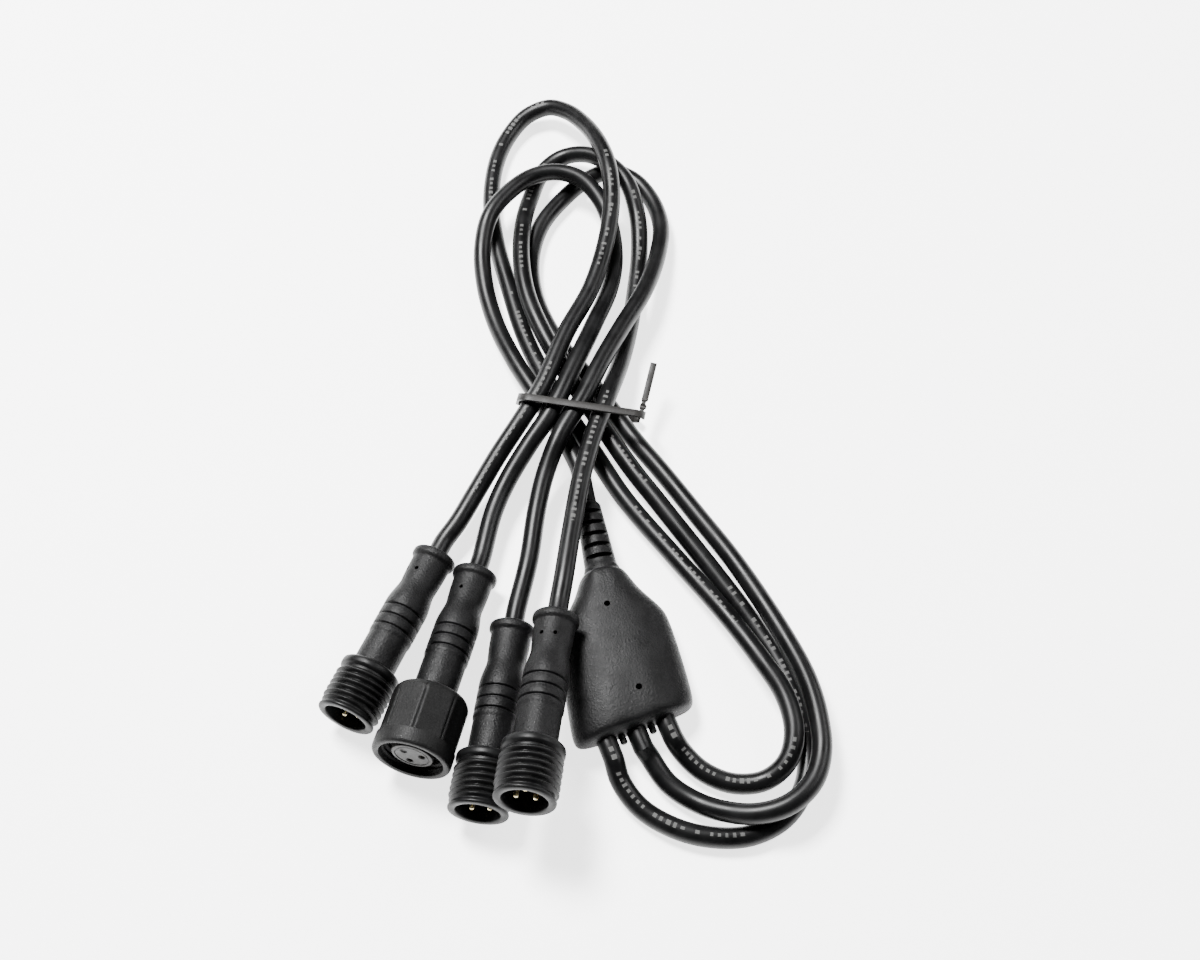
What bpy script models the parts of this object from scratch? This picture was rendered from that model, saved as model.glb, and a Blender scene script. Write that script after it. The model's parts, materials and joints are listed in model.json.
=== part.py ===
"""Three-way waterproof splitter lead for low-voltage solar equipment.

A moulded splitter joins one inlet cable, which ends in a female connector with
a coupling nut, to three outlet cables with male threaded connectors. The
splitter lies flat with its long axis along Y. The origin is the middle of its
footprint, on the floor. All sizes below are in millimetres.
"""
import math

import bmesh
import bpy
from mathutils import Matrix, Vector

MM = 0.001
TOUCH_GAP = 0.3
ROUND_SIDES = 20

# Cable
CABLE_OD = 4.0
CABLE_POINT_PITCH = 8.0
CURVE_STEPS = 16

# Splitter body, seen from above: half widths and the places along Y
SPLITTER_REAR = 26.0
RELIEF_LENGTH = 15.8
RELIEF_REAR_RADIUS = CABLE_OD / 2 + 0.6
RELIEF_FRONT_RADIUS = RELIEF_REAR_RADIUS + 0.8
RELIEF_GROOVES = 5
RELIEF_GROOVE_DEPTH = 0.7
RELIEF_GROOVE_WIDTH = 1.3
BODY_HEIGHT = 10.5
SHOULDER_HALF_WIDTH = 11.5
SHOULDER_Y = -2.0
OUTLET_HALF_WIDTH = 12.7
OUTLET_Y = -23.8
OUTLET_SKEW = math.radians(10.0)
# Rising rings of the body: share of its height, share of its width, pull of its ends
BODY_RINGS = [
    (0.00, 0.94, 0.8), (0.10, 1.00, 0.0), (0.44, 1.00, 0.0), (0.58, 0.95, 0.0),
    (0.75, 0.82, 0.0), (0.91, 0.60, 0.5), (1.00, 0.28, 1.6),
]
EXIT_SPACING = 6.0
EXIT_STRAIGHT = 3.5
BOSS_RADIUS = 0.7
BOSS_LENGTH = 1.6

# Inside the splitter
INNER_WIDTH = 12.0
INNER_LENGTH = 22.0
INNER_HEIGHT = 5.0
INNER_Y = -9.0
CORE_HOLE_RADIUS = 0.7
CORE_HOLES = [(-0.8, 1.1), (1.8, -17.0)]
SPLICE_RADIUS = 0.9
SPLICE_LENGTH = 9.0
SPLICE_SPACING = 4.4

# Connector grip, shared by the male and female ends; stations run to the mouth
FLANGE_RADIUS = 4.1
FLANGE_OVAL = 1.12
FLANGE_LENGTH = 2.4
NECK_RADIUS = 3.6
NECK_END = 7.5
BARREL_START = 13.5
BARREL_RADIUS = 4.4
GROOVE_PITCH = 2.3
GROOVE_WIDTH = 0.9
GROOVE_DEPTH = 0.45
GROOVE_COUNT = 3
MOULD_HOLE_RADIUS = 0.45
MOULD_HOLE_STATION = 5.7
MOULD_HOLE_SPREAD = 44.0
MOULD_HOLE_DEPTH = 1.2

# Male connector
MALE_LENGTH = 39.0
COLLAR_STATION = 28.0
COLLAR_LENGTH = 2.0
THREAD_MAJOR_RADIUS = 6.0
THREAD_DEPTH = 0.55
THREAD_PITCH = 1.25
THREAD_TURNS = 6
RIM_RADIUS = THREAD_MAJOR_RADIUS - 0.6
MOUTH_RADIUS = 4.25
MOUTH_DEPTH = 7.5

# Contacts
CONTACT_COUNT = 3
CONTACT_CIRCLE = 2.05
PIN_RADIUS = 0.5
PIN_RECESS = 1.1
PIN_REAR_REACH = 2.6
SOCKET_RADIUS = 0.85
SOCKET_BORE = 0.6
SOCKET_RECESS = 0.6
SOCKET_LENGTH = 7.0

# Female connector and its coupling nut
FEMALE_LENGTH = 42.5
NUT_LENGTH = 13.8
NUT_WALL = 1.5
NUT_SIDES = 28
NUT_BORE_RADIUS = THREAD_MAJOR_RADIUS + 0.2
NUT_RADIUS = NUT_BORE_RADIUS + NUT_WALL
NUT_THREAD_DEPTH = 0.5
NUT_THREAD_TURNS = 5
NUT_REAR_WALL = 2.0
NUT_SHOULDER = 1.6
NUT_FLUTES = 8
NUT_FLUTE_RADIUS = 0.35
INSERT_RADIUS = MOUTH_RADIUS - 0.2
INSERT_RECESS = 0.8
INSERT_FLANGE_RADIUS = RIM_RADIUS - 0.1
INSERT_FLANGE_LENGTH = 2.0
RING_FILL = 0.29
RING_SECTION = RING_FILL * (NUT_BORE_RADIUS - INSERT_RADIUS - 2 * TOUCH_GAP)

# Twist tie
TIE_WIDTH = 1.8
TIE_THICKNESS = 0.7
TIE_LEFT = (-9.9, 54.2)
TIE_RIGHT = (15.3, 44.5)
TIE_BOTTOM = 0.4
TIE_TOP = 12.4
TIE_CORNER = 2.4
TIE_LEAN = 0.54
TIE_TAIL_RISE = (5.2, 11.2, 3.0)

# Where each connector lies: middle of its rear face, the point its mouth aims
# at, and the turns of its contacts and of its mould holes about its own axis
CONNECTORS = {
    "male_a": ((-32.5, 21.0, 4.35), (-54.0, -11.5, 7.0), 0.0, -42.0),
    "male_b": ((-19.5, 2.5, 4.35), (-32.0, -34.5, 7.0), 105.0, 180.0),
    "male_c": ((-11.1, -0.7, 12.3), (-23.0, -36.6, 18.0), 90.0, -12.0),
    "female": ((-25.0, 15.5, 4.35), (-42.8, -23.2, 9.4), 15.0, -42.0),
}

# Points chosen along each cable, between the splitter and the connector
INLET_ROUTE = [
    (0.0, 35.3, 4.9), (-1.1, 40.8, 4.8), (-2.7, 46.8, 5.0), (-5.7, 55.2, 5.2),
    (-9.0, 65.8, 4.5), (-11.4, 77.3, 3.3), (-12.2, 88.3, 3.6), (-11.2, 97.8, 5.4),
    (-8.2, 105.3, 7.4), (-3.1, 110.9, 7.8), (3.5, 115.0, 7.7), (9.5, 115.3, 7.7),
    (14.8, 112.3, 7.4), (18.2, 106.2, 6.3), (19.3, 99.2, 5.1), (18.4, 89.6, 5.0),
    (15.6, 80.7, 5.7), (9.9, 70.1, 7.5), (3.2, 58.5, 9.4), (-3.7, 47.8, 9.3),
    (-10.0, 41.2, 7.4), (-15.5, 34.8, 5.6), (-19.5, 28.4, 4.7),
]
OUTLET_A_ROUTE = [
    (8.0, -29.0, 3.3), (11.0, -33.0, 2.3), (16.0, -36.3, 2.1), (22.0, -37.2, 3.0),
    (26.7, -35.0, 4.8), (29.3, -30.0, 5.7), (29.5, -22.5, 5.7), (27.0, -14.5, 5.5),
    (22.2, -2.0, 4.2), (15.6, 12.0, 3.0), (8.2, 27.7, 2.6), (4.0, 39.7, 2.9),
    (-0.1, 51.3, 3.15), (-3.3, 62.2, 2.8), (-5.6, 74.2, 2.2), (-6.8, 88.2, 2.05),
    (-7.6, 103.0, 2.05), (-6.7, 115.0, 2.1), (-3.5, 126.5, 2.2), (0.8, 134.0, 2.5),
    (6.0, 138.6, 3.5), (11.5, 139.2, 4.8), (15.6, 135.3, 6.5), (18.6, 128.8, 8.4),
    (20.6, 119.8, 10.8), (21.2, 111.3, 11.7), (20.2, 102.2, 10.8), (16.8, 91.2, 9.9),
    (10.8, 78.5, 9.4), (3.1, 67.3, 9.8), (-4.6, 54.2, 9.7), (-9.5, 48.2, 8.8),
    (-16.2, 41.0, 6.8), (-21.7, 34.4, 5.3), (-27.1, 27.5, 4.6),
]
OUTLET_B_ROUTE = [
    (1.4, -28.3, 3.7), (4.0, -34.0, 2.4), (8.3, -38.5, 2.5), (13.0, -41.8, 4.1),
    (18.6, -43.9, 5.9), (24.6, -43.6, 7.0), (30.0, -40.3, 6.9), (33.3, -34.8, 6.4),
    (34.6, -27.8, 6.1), (34.5, -20.3, 6.1), (32.6, -10.8, 5.8), (27.4, 7.4, 4.1),
    (22.4, 19.9, 3.5), (17.1, 32.5, 3.2), (13.4, 40.5, 3.2), (9.6, 50.1, 3.2),
    (5.4, 61.1, 2.8), (0.9, 72.4, 2.1), (-1.3, 84.2, 2.05), (-0.3, 95.0, 2.05),
    (3.7, 104.5, 2.05), (10.1, 111.5, 2.05), (17.1, 116.6, 2.05), (23.0, 118.0, 2.1),
    (28.0, 114.4, 2.1), (31.0, 106.8, 2.4), (31.2, 97.8, 3.3), (28.1, 87.8, 4.9),
    (22.9, 77.4, 7.1), (15.8, 67.6, 8.5), (9.4, 58.6, 9.5), (3.3, 49.4, 9.9),
    (-2.8, 41.8, 9.2), (-7.4, 34.4, 6.9), (-10.7, 26.5, 5.5), (-14.0, 16.3, 4.8),
]
OUTLET_C_ROUTE = [
    (-4.8, -32.1, 3.3), (-2.0, -37.6, 2.1), (3.5, -42.6, 2.1), (10.0, -45.6, 2.05),
    (17.0, -46.6, 2.05), (24.0, -44.6, 2.05), (29.3, -39.3, 2.05), (31.7, -32.2, 2.05),
    (32.1, -23.7, 2.05), (31.0, -15.1, 2.05), (28.0, -5.6, 2.15), (24.5, 3.0, 2.6),
    (14.9, 24.7, 3.8), (10.7, 34.3, 4.2), (4.9, 50.8, 4.8), (1.4, 60.7, 5.2),
    (-1.7, 71.2, 6.2), (-3.4, 82.0, 6.5), (-3.0, 92.0, 6.4), (-0.8, 103.0, 5.2),
    (2.6, 112.5, 3.4), (6.8, 120.3, 2.8), (12.0, 123.3, 3.6), (17.5, 121.6, 5.5),
    (22.2, 116.6, 6.8), (25.5, 109.9, 6.5), (26.3, 101.4, 4.0), (24.8, 91.9, 2.4),
    (21.8, 81.7, 2.05), (17.8, 69.8, 3.2), (13.4, 58.8, 6.0), (8.7, 49.4, 8.6),
    (4.0, 40.4, 9.6), (-0.7, 29.5, 10.6), (-5.0, 17.2, 11.5), (-8.6, 6.4, 12.1),
]

BODY_MID = BODY_HEIGHT / 2
RELIEF_START = SPLITTER_REAR - RELIEF_LENGTH
EXIT_NORMAL = Vector((math.sin(OUTLET_SKEW), -math.cos(OUTLET_SKEW), 0))
EXIT_ACROSS = Vector((math.cos(OUTLET_SKEW), math.sin(OUTLET_SKEW), 0))


def clear_scene():
    for thing in list(bpy.data.objects):
        bpy.data.objects.remove(thing, do_unlink=True)


def finish_material(name, colour, roughness, metallic=0.0):
    material = bpy.data.materials.new(name)
    material.use_nodes = True
    shader = material.node_tree.nodes["Principled BSDF"]
    shader.inputs["Base Color"].default_value = (*colour, 1.0)
    shader.inputs["Roughness"].default_value = roughness
    shader.inputs["Metallic"].default_value = metallic
    material.diffuse_color = (*colour, 1.0)
    return material


def add_object(name, data, material, parent=None):
    thing = bpy.data.objects.new(name, data)
    bpy.context.scene.collection.objects.link(thing)
    if material:
        data.materials.append(material)
    thing.parent = parent
    return thing


def add_mesh(name, shape, material, parent=None, smooth_angle=40.0):
    """Turn a bmesh in millimetres into an object in metres."""
    bmesh.ops.scale(shape, vec=(MM, MM, MM), verts=shape.verts)
    bmesh.ops.recalc_face_normals(shape, faces=shape.faces)
    mesh = bpy.data.meshes.new(name)
    shape.to_mesh(mesh)
    shape.free()
    mesh.shade_smooth()
    mesh.set_sharp_from_angle(angle=math.radians(smooth_angle))
    return add_object(name, mesh, material, parent)


def turned_shape(profile, sides=ROUND_SIDES, ring=False):
    """Spin (radius, station) points about Z; a ring's profile closes on itself."""
    shape = bmesh.new()
    corners = [shape.verts.new((radius, 0, station)) for radius, station in profile]
    edges = [shape.edges.new(pair) for pair in zip(corners, corners[1:])]
    if ring:
        edges.append(shape.edges.new((corners[-1], corners[0])))
    bmesh.ops.spin(shape, geom=corners + edges, cent=(0, 0, 0), axis=(0, 0, 1),
                   angle=math.tau, steps=sides, use_merge=True)
    bmesh.ops.remove_doubles(shape, verts=shape.verts, dist=0.001)
    return shape


def cylinder_shape(radius, start, end, centre=(0, 0), sides=12):
    shape = bmesh.new()
    bmesh.ops.create_cone(shape, cap_ends=True, segments=sides, radius1=radius,
                          radius2=radius, depth=end - start)
    middle = Vector((centre[0], centre[1], (start + end) / 2))
    bmesh.ops.translate(shape, vec=middle, verts=shape.verts)
    return shape


def box_shape(size, centre):
    shape = bmesh.new()
    bmesh.ops.create_cube(shape, size=1.0)
    bmesh.ops.scale(shape, vec=size, verts=shape.verts)
    bmesh.ops.translate(shape, vec=centre, verts=shape.verts)
    return shape


def add_cutter(name, shape, parent=None):
    cutter = add_mesh(name, shape, None, parent)
    cutter.hide_render = True
    cutter.display_type = "WIRE"
    return cutter


def combine(target, other, operation="DIFFERENCE"):
    modifier = target.modifiers.new(other.name, "BOOLEAN")
    modifier.operation = operation
    modifier.solver = "EXACT"
    modifier.object = other


def smooth_points(guides):
    """Centripetal curve; the first and last guide only steer its two ends."""
    curve = []
    for first, second, third, fourth in zip(guides, guides[1:], guides[2:], guides[3:]):
        t1 = math.sqrt((second - first).length)
        t2 = t1 + math.sqrt((third - second).length)
        t3 = t2 + math.sqrt((fourth - third).length)
        for step in range(CURVE_STEPS):
            t = t1 + (t2 - t1) * step / CURVE_STEPS
            a1 = first.lerp(second, t / t1)
            a2 = second.lerp(third, (t - t1) / (t2 - t1))
            a3 = third.lerp(fourth, (t - t2) / (t3 - t2))
            b1 = a1.lerp(a2, t / t2)
            b2 = a2.lerp(a3, (t - t1) / (t3 - t1))
            curve.append(b1.lerp(b2, (t - t1) / (t2 - t1)))
    curve.append(guides[-2])
    return curve


def even_points(curve, pitch):
    """Points a set distance apart along a finely sampled curve."""
    total = sum((b - a).length for a, b in zip(curve, curve[1:]))
    count = round(total / pitch)
    spacing = total / count
    points = [curve[0]]
    walked = 0.0
    for start, end in zip(curve, curve[1:]):
        length = (end - start).length
        while len(points) < count and walked + length >= spacing * len(points):
            share = (spacing * len(points) - walked) / length
            points.append(start.lerp(end, share))
        walked += length
    points.append(curve[-1])
    return points


def connector_direction(name):
    rear, aim = CONNECTORS[name][:2]
    return (Vector(aim) - Vector(rear)).normalized()


def build_cable(name, start, start_direction, route, connector, material):
    """Leave one face square, follow the route and meet the connector square."""
    rear = Vector(CONNECTORS[connector][0])
    direction = connector_direction(connector)
    guides = [
        start + start_direction * TOUCH_GAP,
        start + start_direction * EXIT_STRAIGHT,
        *[Vector(point) for point in route],
        rear - direction * EXIT_STRAIGHT,
        rear - direction * TOUCH_GAP,
    ]
    middle = even_points(smooth_points(guides), CABLE_POINT_PITCH)
    places = [guides[0], *middle, guides[-1]]
    curve = bpy.data.curves.new(name, "CURVE")
    curve.dimensions = "3D"
    curve.bevel_depth = CABLE_OD / 2 * MM
    curve.bevel_resolution = 2
    curve.use_fill_caps = True
    spline = curve.splines.new("POLY")
    spline.points.add(len(places) - 1)
    for knot, place in zip(spline.points, places):
        knot.co = (*(place * MM), 1.0)
    return add_object(name, curve, material)


def body_outline():
    """Plan of the splitter body before its end is skewed, right side then left."""
    neck = RELIEF_FRONT_RADIUS + 0.4
    rise = RELIEF_START - SHOULDER_Y
    right = [
        (neck, RELIEF_START),
        (neck + 1.4, RELIEF_START - 0.10 * rise),
        (neck + 2.6, RELIEF_START - 0.36 * rise),
        (SHOULDER_HALF_WIDTH - 2.3, SHOULDER_Y + 0.34 * rise),
        (SHOULDER_HALF_WIDTH - 0.8, SHOULDER_Y + 0.16 * rise),
        (SHOULDER_HALF_WIDTH, SHOULDER_Y - 0.4),
        (OUTLET_HALF_WIDTH, OUTLET_Y + 1.4),
        (OUTLET_HALF_WIDTH - 1.2, OUTLET_Y),
    ]
    return right + [(-x, y) for x, y in reversed(right)]


def splitter_body_shape():
    """Outline drawn up through its rings into a low dome, with a skewed outlet end."""
    middle = (RELIEF_START + OUTLET_Y) / 2
    half = (RELIEF_START - OUTLET_Y) / 2
    shape = bmesh.new()
    rings = []
    for height, width, pull in BODY_RINGS:
        ring = []
        for x, y in body_outline():
            place = Vector((x * width, middle + (y - middle) * (1 - pull / half)))
            towards_end = max(0, (SHOULDER_Y - y) / (SHOULDER_Y - OUTLET_Y))
            place.y += place.x * math.tan(OUTLET_SKEW) * towards_end
            ring.append(shape.verts.new((*place, height * BODY_HEIGHT)))
        rings.append(ring)
    for low, high in zip(rings, rings[1:]):
        for index in range(len(low)):
            after = (index + 1) % len(low)
            shape.faces.new((low[index], low[after], high[after], high[index]))
    shape.faces.new(rings[0])
    shape.faces.new(rings[-1])
    return shape


def relief_shape():
    """Tapered strain relief with grooves, turned about the body's long axis."""
    taper = (RELIEF_FRONT_RADIUS - RELIEF_REAR_RADIUS) / RELIEF_LENGTH
    pitch = RELIEF_LENGTH / (RELIEF_GROOVES + 1)
    sunk = 2.0
    profile = [(0, -sunk), (RELIEF_FRONT_RADIUS, -sunk), (RELIEF_FRONT_RADIUS, 0)]
    for index in range(1, RELIEF_GROOVES + 1):
        middle = index * pitch
        for offset, depth in ((-0.5, 0), (-0.4, 1), (0.4, 1), (0.5, 0)):
            station = middle + offset * RELIEF_GROOVE_WIDTH
            radius = RELIEF_FRONT_RADIUS - taper * station - depth * RELIEF_GROOVE_DEPTH
            profile.append((radius, station))
    profile.append((RELIEF_REAR_RADIUS + 0.05, RELIEF_LENGTH - 0.5))
    profile.append((RELIEF_REAR_RADIUS - 0.4, RELIEF_LENGTH))
    profile.append((0, RELIEF_LENGTH))
    shape = turned_shape(profile)
    bmesh.ops.rotate(shape, cent=(0, 0, 0), matrix=Matrix.Rotation(-math.pi / 2, 3, "X"),
                     verts=shape.verts)
    bmesh.ops.translate(shape, vec=(0, RELIEF_START, BODY_MID), verts=shape.verts)
    return shape


def exit_point(index):
    """Middle of one outlet on the skewed end face; index is -1, 0 or 1."""
    return Vector((0, OUTLET_Y, BODY_MID)) + EXIT_ACROSS * (index * EXIT_SPACING)


def build_splitter(material):
    body = add_mesh("splitter_overmould", splitter_body_shape(), material)
    combine(body, add_cutter("relief_guide", relief_shape()), "UNION")
    for side in (-1, 1):
        boss = cylinder_shape(BOSS_RADIUS, -1.0, BOSS_LENGTH)
        turn = Vector((0, 0, 1)).rotation_difference(EXIT_NORMAL).to_matrix()
        bmesh.ops.rotate(boss, cent=(0, 0, 0), matrix=turn, verts=boss.verts)
        bmesh.ops.translate(boss, vec=exit_point(side / 2), verts=boss.verts)
        combine(body, add_cutter(f"boss_guide_{side + 2}", boss), "UNION")
    room = 2 * TOUCH_GAP
    cavity = box_shape((INNER_WIDTH + room, INNER_LENGTH + room, INNER_HEIGHT + room),
                       (0, INNER_Y, BODY_MID))
    combine(body, add_cutter("cavity_guide", cavity))
    for index, place in enumerate(CORE_HOLES):
        hole = cylinder_shape(CORE_HOLE_RADIUS, BODY_MID, BODY_HEIGHT + 1, place)
        combine(body, add_cutter(f"core_hole_guide_{index}", hole))
    return body


def build_splices(mould_material, crimp_material):
    """Hard inner block with one through bore for each crimp barrel."""
    size = (INNER_WIDTH, INNER_LENGTH, INNER_HEIGHT)
    block = add_mesh("splitter_inner_mould", box_shape(size, (0, INNER_Y, BODY_MID)),
                     mould_material)
    for index in range(CONTACT_COUNT):
        across = (index - 1) * SPLICE_SPACING
        place = Vector((across, INNER_Y, BODY_MID)) * MM
        anchor = bpy.data.objects.new(f"splice_place_{index + 1}", None)
        bpy.context.scene.collection.objects.link(anchor)
        anchor.location = place
        anchor.rotation_euler = (math.pi / 2, 0, 0)
        bore = cylinder_shape(SPLICE_RADIUS + TOUCH_GAP, -INNER_LENGTH, INNER_LENGTH)
        combine(block, add_cutter(f"splice_bore_guide_{index + 1}", bore, anchor))
        half = SPLICE_LENGTH / 2
        waist = SPLICE_RADIUS * 0.8
        profile = [(0, -half), (SPLICE_RADIUS, -half), (SPLICE_RADIUS, -1.2), (waist, -0.8),
                   (waist, 0.8), (SPLICE_RADIUS, 1.2), (SPLICE_RADIUS, half), (0, half)]
        add_mesh(f"splice_{index + 1}", turned_shape(profile, 12), crimp_material, anchor)


def connector_frame(name):
    """Empty at the rear face with its Z along the connector, towards the mouth."""
    rear = CONNECTORS[name][0]
    frame = bpy.data.objects.new(f"{name}_frame", None)
    bpy.context.scene.collection.objects.link(frame)
    frame.location = Vector(rear) * MM
    along = connector_direction(name)
    across = Vector((0, 0, 1)).cross(along).normalized()
    upward = along.cross(across)
    turn = Matrix((across, upward, along)).transposed()
    frame.rotation_euler = turn.to_euler()
    return frame


def grip_profile(front_station):
    """Rear bead, neck, swelling, grooves and barrel, ending flat on the axis."""
    bead = FLANGE_LENGTH
    profile = [
        (0, 0),
        (FLANGE_RADIUS - 0.7, 0),
        (FLANGE_RADIUS, 0.6),
        (FLANGE_RADIUS, bead - 0.6),
        (NECK_RADIUS, bead),
        (NECK_RADIUS, NECK_END),
        ((NECK_RADIUS + BARREL_RADIUS) / 2 - 0.1, (NECK_END + BARREL_START) / 2),
        (BARREL_RADIUS, BARREL_START),
    ]
    for index in range(GROOVE_COUNT):
        middle = BARREL_START + GROOVE_PITCH * (index + 0.6)
        for offset, depth in ((-0.5, 0), (-0.3, 1), (0.3, 1), (0.5, 0)):
            station = middle + offset * GROOVE_WIDTH
            profile.append((BARREL_RADIUS - depth * GROOVE_DEPTH, station))
    profile.append((BARREL_RADIUS, front_station))
    profile.append((0, front_station))
    return profile


def build_grip(name, front_station, hole_turn, material, parent):
    shape = turned_shape(grip_profile(front_station))
    rear = [vert for vert in shape.verts if vert.co.z < NECK_END - 1]
    bmesh.ops.scale(shape, vec=(FLANGE_OVAL, 1, 1), verts=rear)
    grip = add_mesh(name, shape, material, parent)
    for side in (-1, 1):
        hole = cylinder_shape(MOULD_HOLE_RADIUS, NECK_RADIUS - MOULD_HOLE_DEPTH,
                              NECK_RADIUS + 2, sides=8)
        angle = math.radians(hole_turn + side * MOULD_HOLE_SPREAD / 2)
        turn = Matrix.Rotation(-angle, 3, "Z") @ Matrix.Rotation(-math.pi / 2, 3, "X")
        bmesh.ops.rotate(hole, cent=(0, 0, 0), matrix=turn, verts=hole.verts)
        bmesh.ops.translate(hole, vec=(0, 0, MOULD_HOLE_STATION), verts=hole.verts)
        combine(grip, add_cutter(f"{name}_hole_guide_{side + 2}", hole, parent))
    return grip


def thread_profile(major, depth, pitch, turns, start):
    """Rounded ridges as (radius, station) points from start to the mouth."""
    points = []
    for turn in range(turns):
        for share, rise in ((0.12, 0), (0.35, 1), (0.65, 1), (0.88, 0)):
            points.append((major - depth * (1 - rise), start + (turn + share) * pitch))
    return points


def contact_places(turn_degrees):
    for index in range(CONTACT_COUNT):
        angle = math.radians(turn_degrees) + index * math.tau / CONTACT_COUNT
        yield index + 1, (CONTACT_CIRCLE * math.cos(angle), CONTACT_CIRCLE * math.sin(angle))


def build_male(name, moulding, threads, contact):
    frame = connector_frame(name)
    turn, hole_turn = CONNECTORS[name][2:]
    grip_front = COLLAR_STATION - TOUCH_GAP
    grip = build_grip(f"{name}_grip", grip_front, hole_turn, moulding, frame)
    thread_start = COLLAR_STATION + COLLAR_LENGTH + 0.5
    profile = [
        (0, COLLAR_STATION),
        (THREAD_MAJOR_RADIUS - 0.8, COLLAR_STATION),
        (THREAD_MAJOR_RADIUS, COLLAR_STATION + 0.7),
        (THREAD_MAJOR_RADIUS, COLLAR_STATION + COLLAR_LENGTH - 0.3),
        (THREAD_MAJOR_RADIUS - THREAD_DEPTH, COLLAR_STATION + COLLAR_LENGTH),
        *thread_profile(THREAD_MAJOR_RADIUS, THREAD_DEPTH, THREAD_PITCH, THREAD_TURNS,
                        thread_start),
        (RIM_RADIUS, MALE_LENGTH),
        (MOUTH_RADIUS, MALE_LENGTH),
        (MOUTH_RADIUS, MALE_LENGTH - MOUTH_DEPTH),
        (0, MALE_LENGTH - MOUTH_DEPTH),
    ]
    shell = add_mesh(f"{name}_shell", turned_shape(profile), threads, frame)
    pin_rear = COLLAR_STATION - PIN_REAR_REACH
    pin_front = MALE_LENGTH - PIN_RECESS
    for index, place in contact_places(turn):
        hole = cylinder_shape(PIN_RADIUS + TOUCH_GAP, pin_rear - TOUCH_GAP,
                              MALE_LENGTH - MOUTH_DEPTH + 1, place)
        guide = add_cutter(f"{name}_pin_guide_{index}", hole, frame)
        combine(shell, guide)
        combine(grip, guide)
        pin_profile = [(0, pin_rear), (PIN_RADIUS, pin_rear), (PIN_RADIUS, pin_front - 0.35),
                       (PIN_RADIUS * 0.6, pin_front), (0, pin_front)]
        shape = turned_shape(pin_profile, 10)
        bmesh.ops.translate(shape, vec=(*place, 0), verts=shape.verts)
        add_mesh(f"{name}_pin_{index}", shape, contact, frame)


def nut_profile(start, end):
    """Nut wall with its rear shoulder, mouth chamfer and inner thread."""
    hole = BARREL_RADIUS + TOUCH_GAP
    bore_start = start + NUT_REAR_WALL
    ridge_start = bore_start + 4.2
    ridge_pitch = (end - 1.0 - ridge_start) / NUT_THREAD_TURNS
    inner = thread_profile(NUT_BORE_RADIUS, NUT_THREAD_DEPTH, ridge_pitch,
                           NUT_THREAD_TURNS, ridge_start)
    return [
        (hole, start),
        (NUT_RADIUS - NUT_SHOULDER, start),
        (NUT_RADIUS - 0.5, start + 0.8),
        (NUT_RADIUS, start + NUT_SHOULDER),
        (NUT_RADIUS, end - 0.6),
        (NUT_RADIUS - 0.5, end),
        (NUT_BORE_RADIUS, end),
        *inner[::-1],
        (NUT_BORE_RADIUS, bore_start),
        (hole, bore_start),
    ]


def build_female(moulding, insert_material, seal, contact):
    frame = connector_frame("female")
    turn, hole_turn = CONNECTORS["female"][2:]
    nut_start = FEMALE_LENGTH - NUT_LENGTH
    flange_start = nut_start + NUT_REAR_WALL + TOUCH_GAP
    flange_end = flange_start + INSERT_FLANGE_LENGTH
    face = FEMALE_LENGTH - INSERT_RECESS
    build_grip("female_grip", flange_start - TOUCH_GAP, hole_turn, moulding, frame)
    insert_profile = [
        (0, flange_start), (INSERT_FLANGE_RADIUS, flange_start),
        (INSERT_FLANGE_RADIUS, flange_end), (INSERT_RADIUS, flange_end),
        (INSERT_RADIUS, face - 0.3), (INSERT_RADIUS - 0.3, face), (0, face),
    ]
    insert = add_mesh("female_insert", turned_shape(insert_profile), insert_material, frame)
    socket_front = face - SOCKET_RECESS
    socket_rear = socket_front - SOCKET_LENGTH
    for index, place in contact_places(turn):
        hole = cylinder_shape(SOCKET_RADIUS + TOUCH_GAP, socket_rear - TOUCH_GAP,
                              face + 1, place)
        combine(insert, add_cutter(f"socket_guide_{index}", hole, frame))
        profile = [(0, socket_rear), (SOCKET_RADIUS, socket_rear),
                   (SOCKET_RADIUS, socket_front), (SOCKET_BORE, socket_front),
                   (SOCKET_BORE, socket_rear + 1), (0, socket_rear + 1)]
        shape = turned_shape(profile, 12)
        bmesh.ops.translate(shape, vec=(*place, 0), verts=shape.verts)
        add_mesh(f"female_socket_{index}", shape, contact, frame)
    ring_centre = INSERT_RADIUS + TOUCH_GAP + RING_SECTION
    ring_station = flange_end + TOUCH_GAP + RING_SECTION
    section = [(ring_centre + RING_SECTION * math.cos(step * math.tau / 8),
                ring_station + RING_SECTION * math.sin(step * math.tau / 8))
               for step in range(8)]
    add_mesh("o_ring", turned_shape(section, ring=True), seal, frame)
    nut_shape = turned_shape(nut_profile(nut_start, FEMALE_LENGTH), NUT_SIDES, ring=True)
    nut = add_mesh("coupling_nut", nut_shape, moulding, frame)
    for index in range(NUT_FLUTES):
        angle = index * math.tau / NUT_FLUTES
        place = (NUT_RADIUS * math.cos(angle), NUT_RADIUS * math.sin(angle))
        flute = cylinder_shape(NUT_FLUTE_RADIUS, nut_start - 1, FEMALE_LENGTH - 3.0, place, 6)
        combine(nut, add_cutter(f"nut_flute_guide_{index}", flute, frame))


def tie_loop_points(growth):
    """Rounded loop round the bundle, as (share across, height) pairs."""
    span = (Vector(TIE_RIGHT) - Vector(TIE_LEFT)).length
    near, far = TIE_CORNER, span - TIE_CORNER
    low, high = TIE_BOTTOM + TIE_CORNER, TIE_TOP - TIE_CORNER
    radius = TIE_CORNER + growth
    points = []
    for across, height, start in ((far, low, -90), (far, high, 0), (near, high, 90), (near, low, 180)):
        for step in range(5):
            angle = math.radians(start + step * 22.5)
            points.append((across + radius * math.cos(angle), height + radius * math.sin(angle)))
    return points


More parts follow.
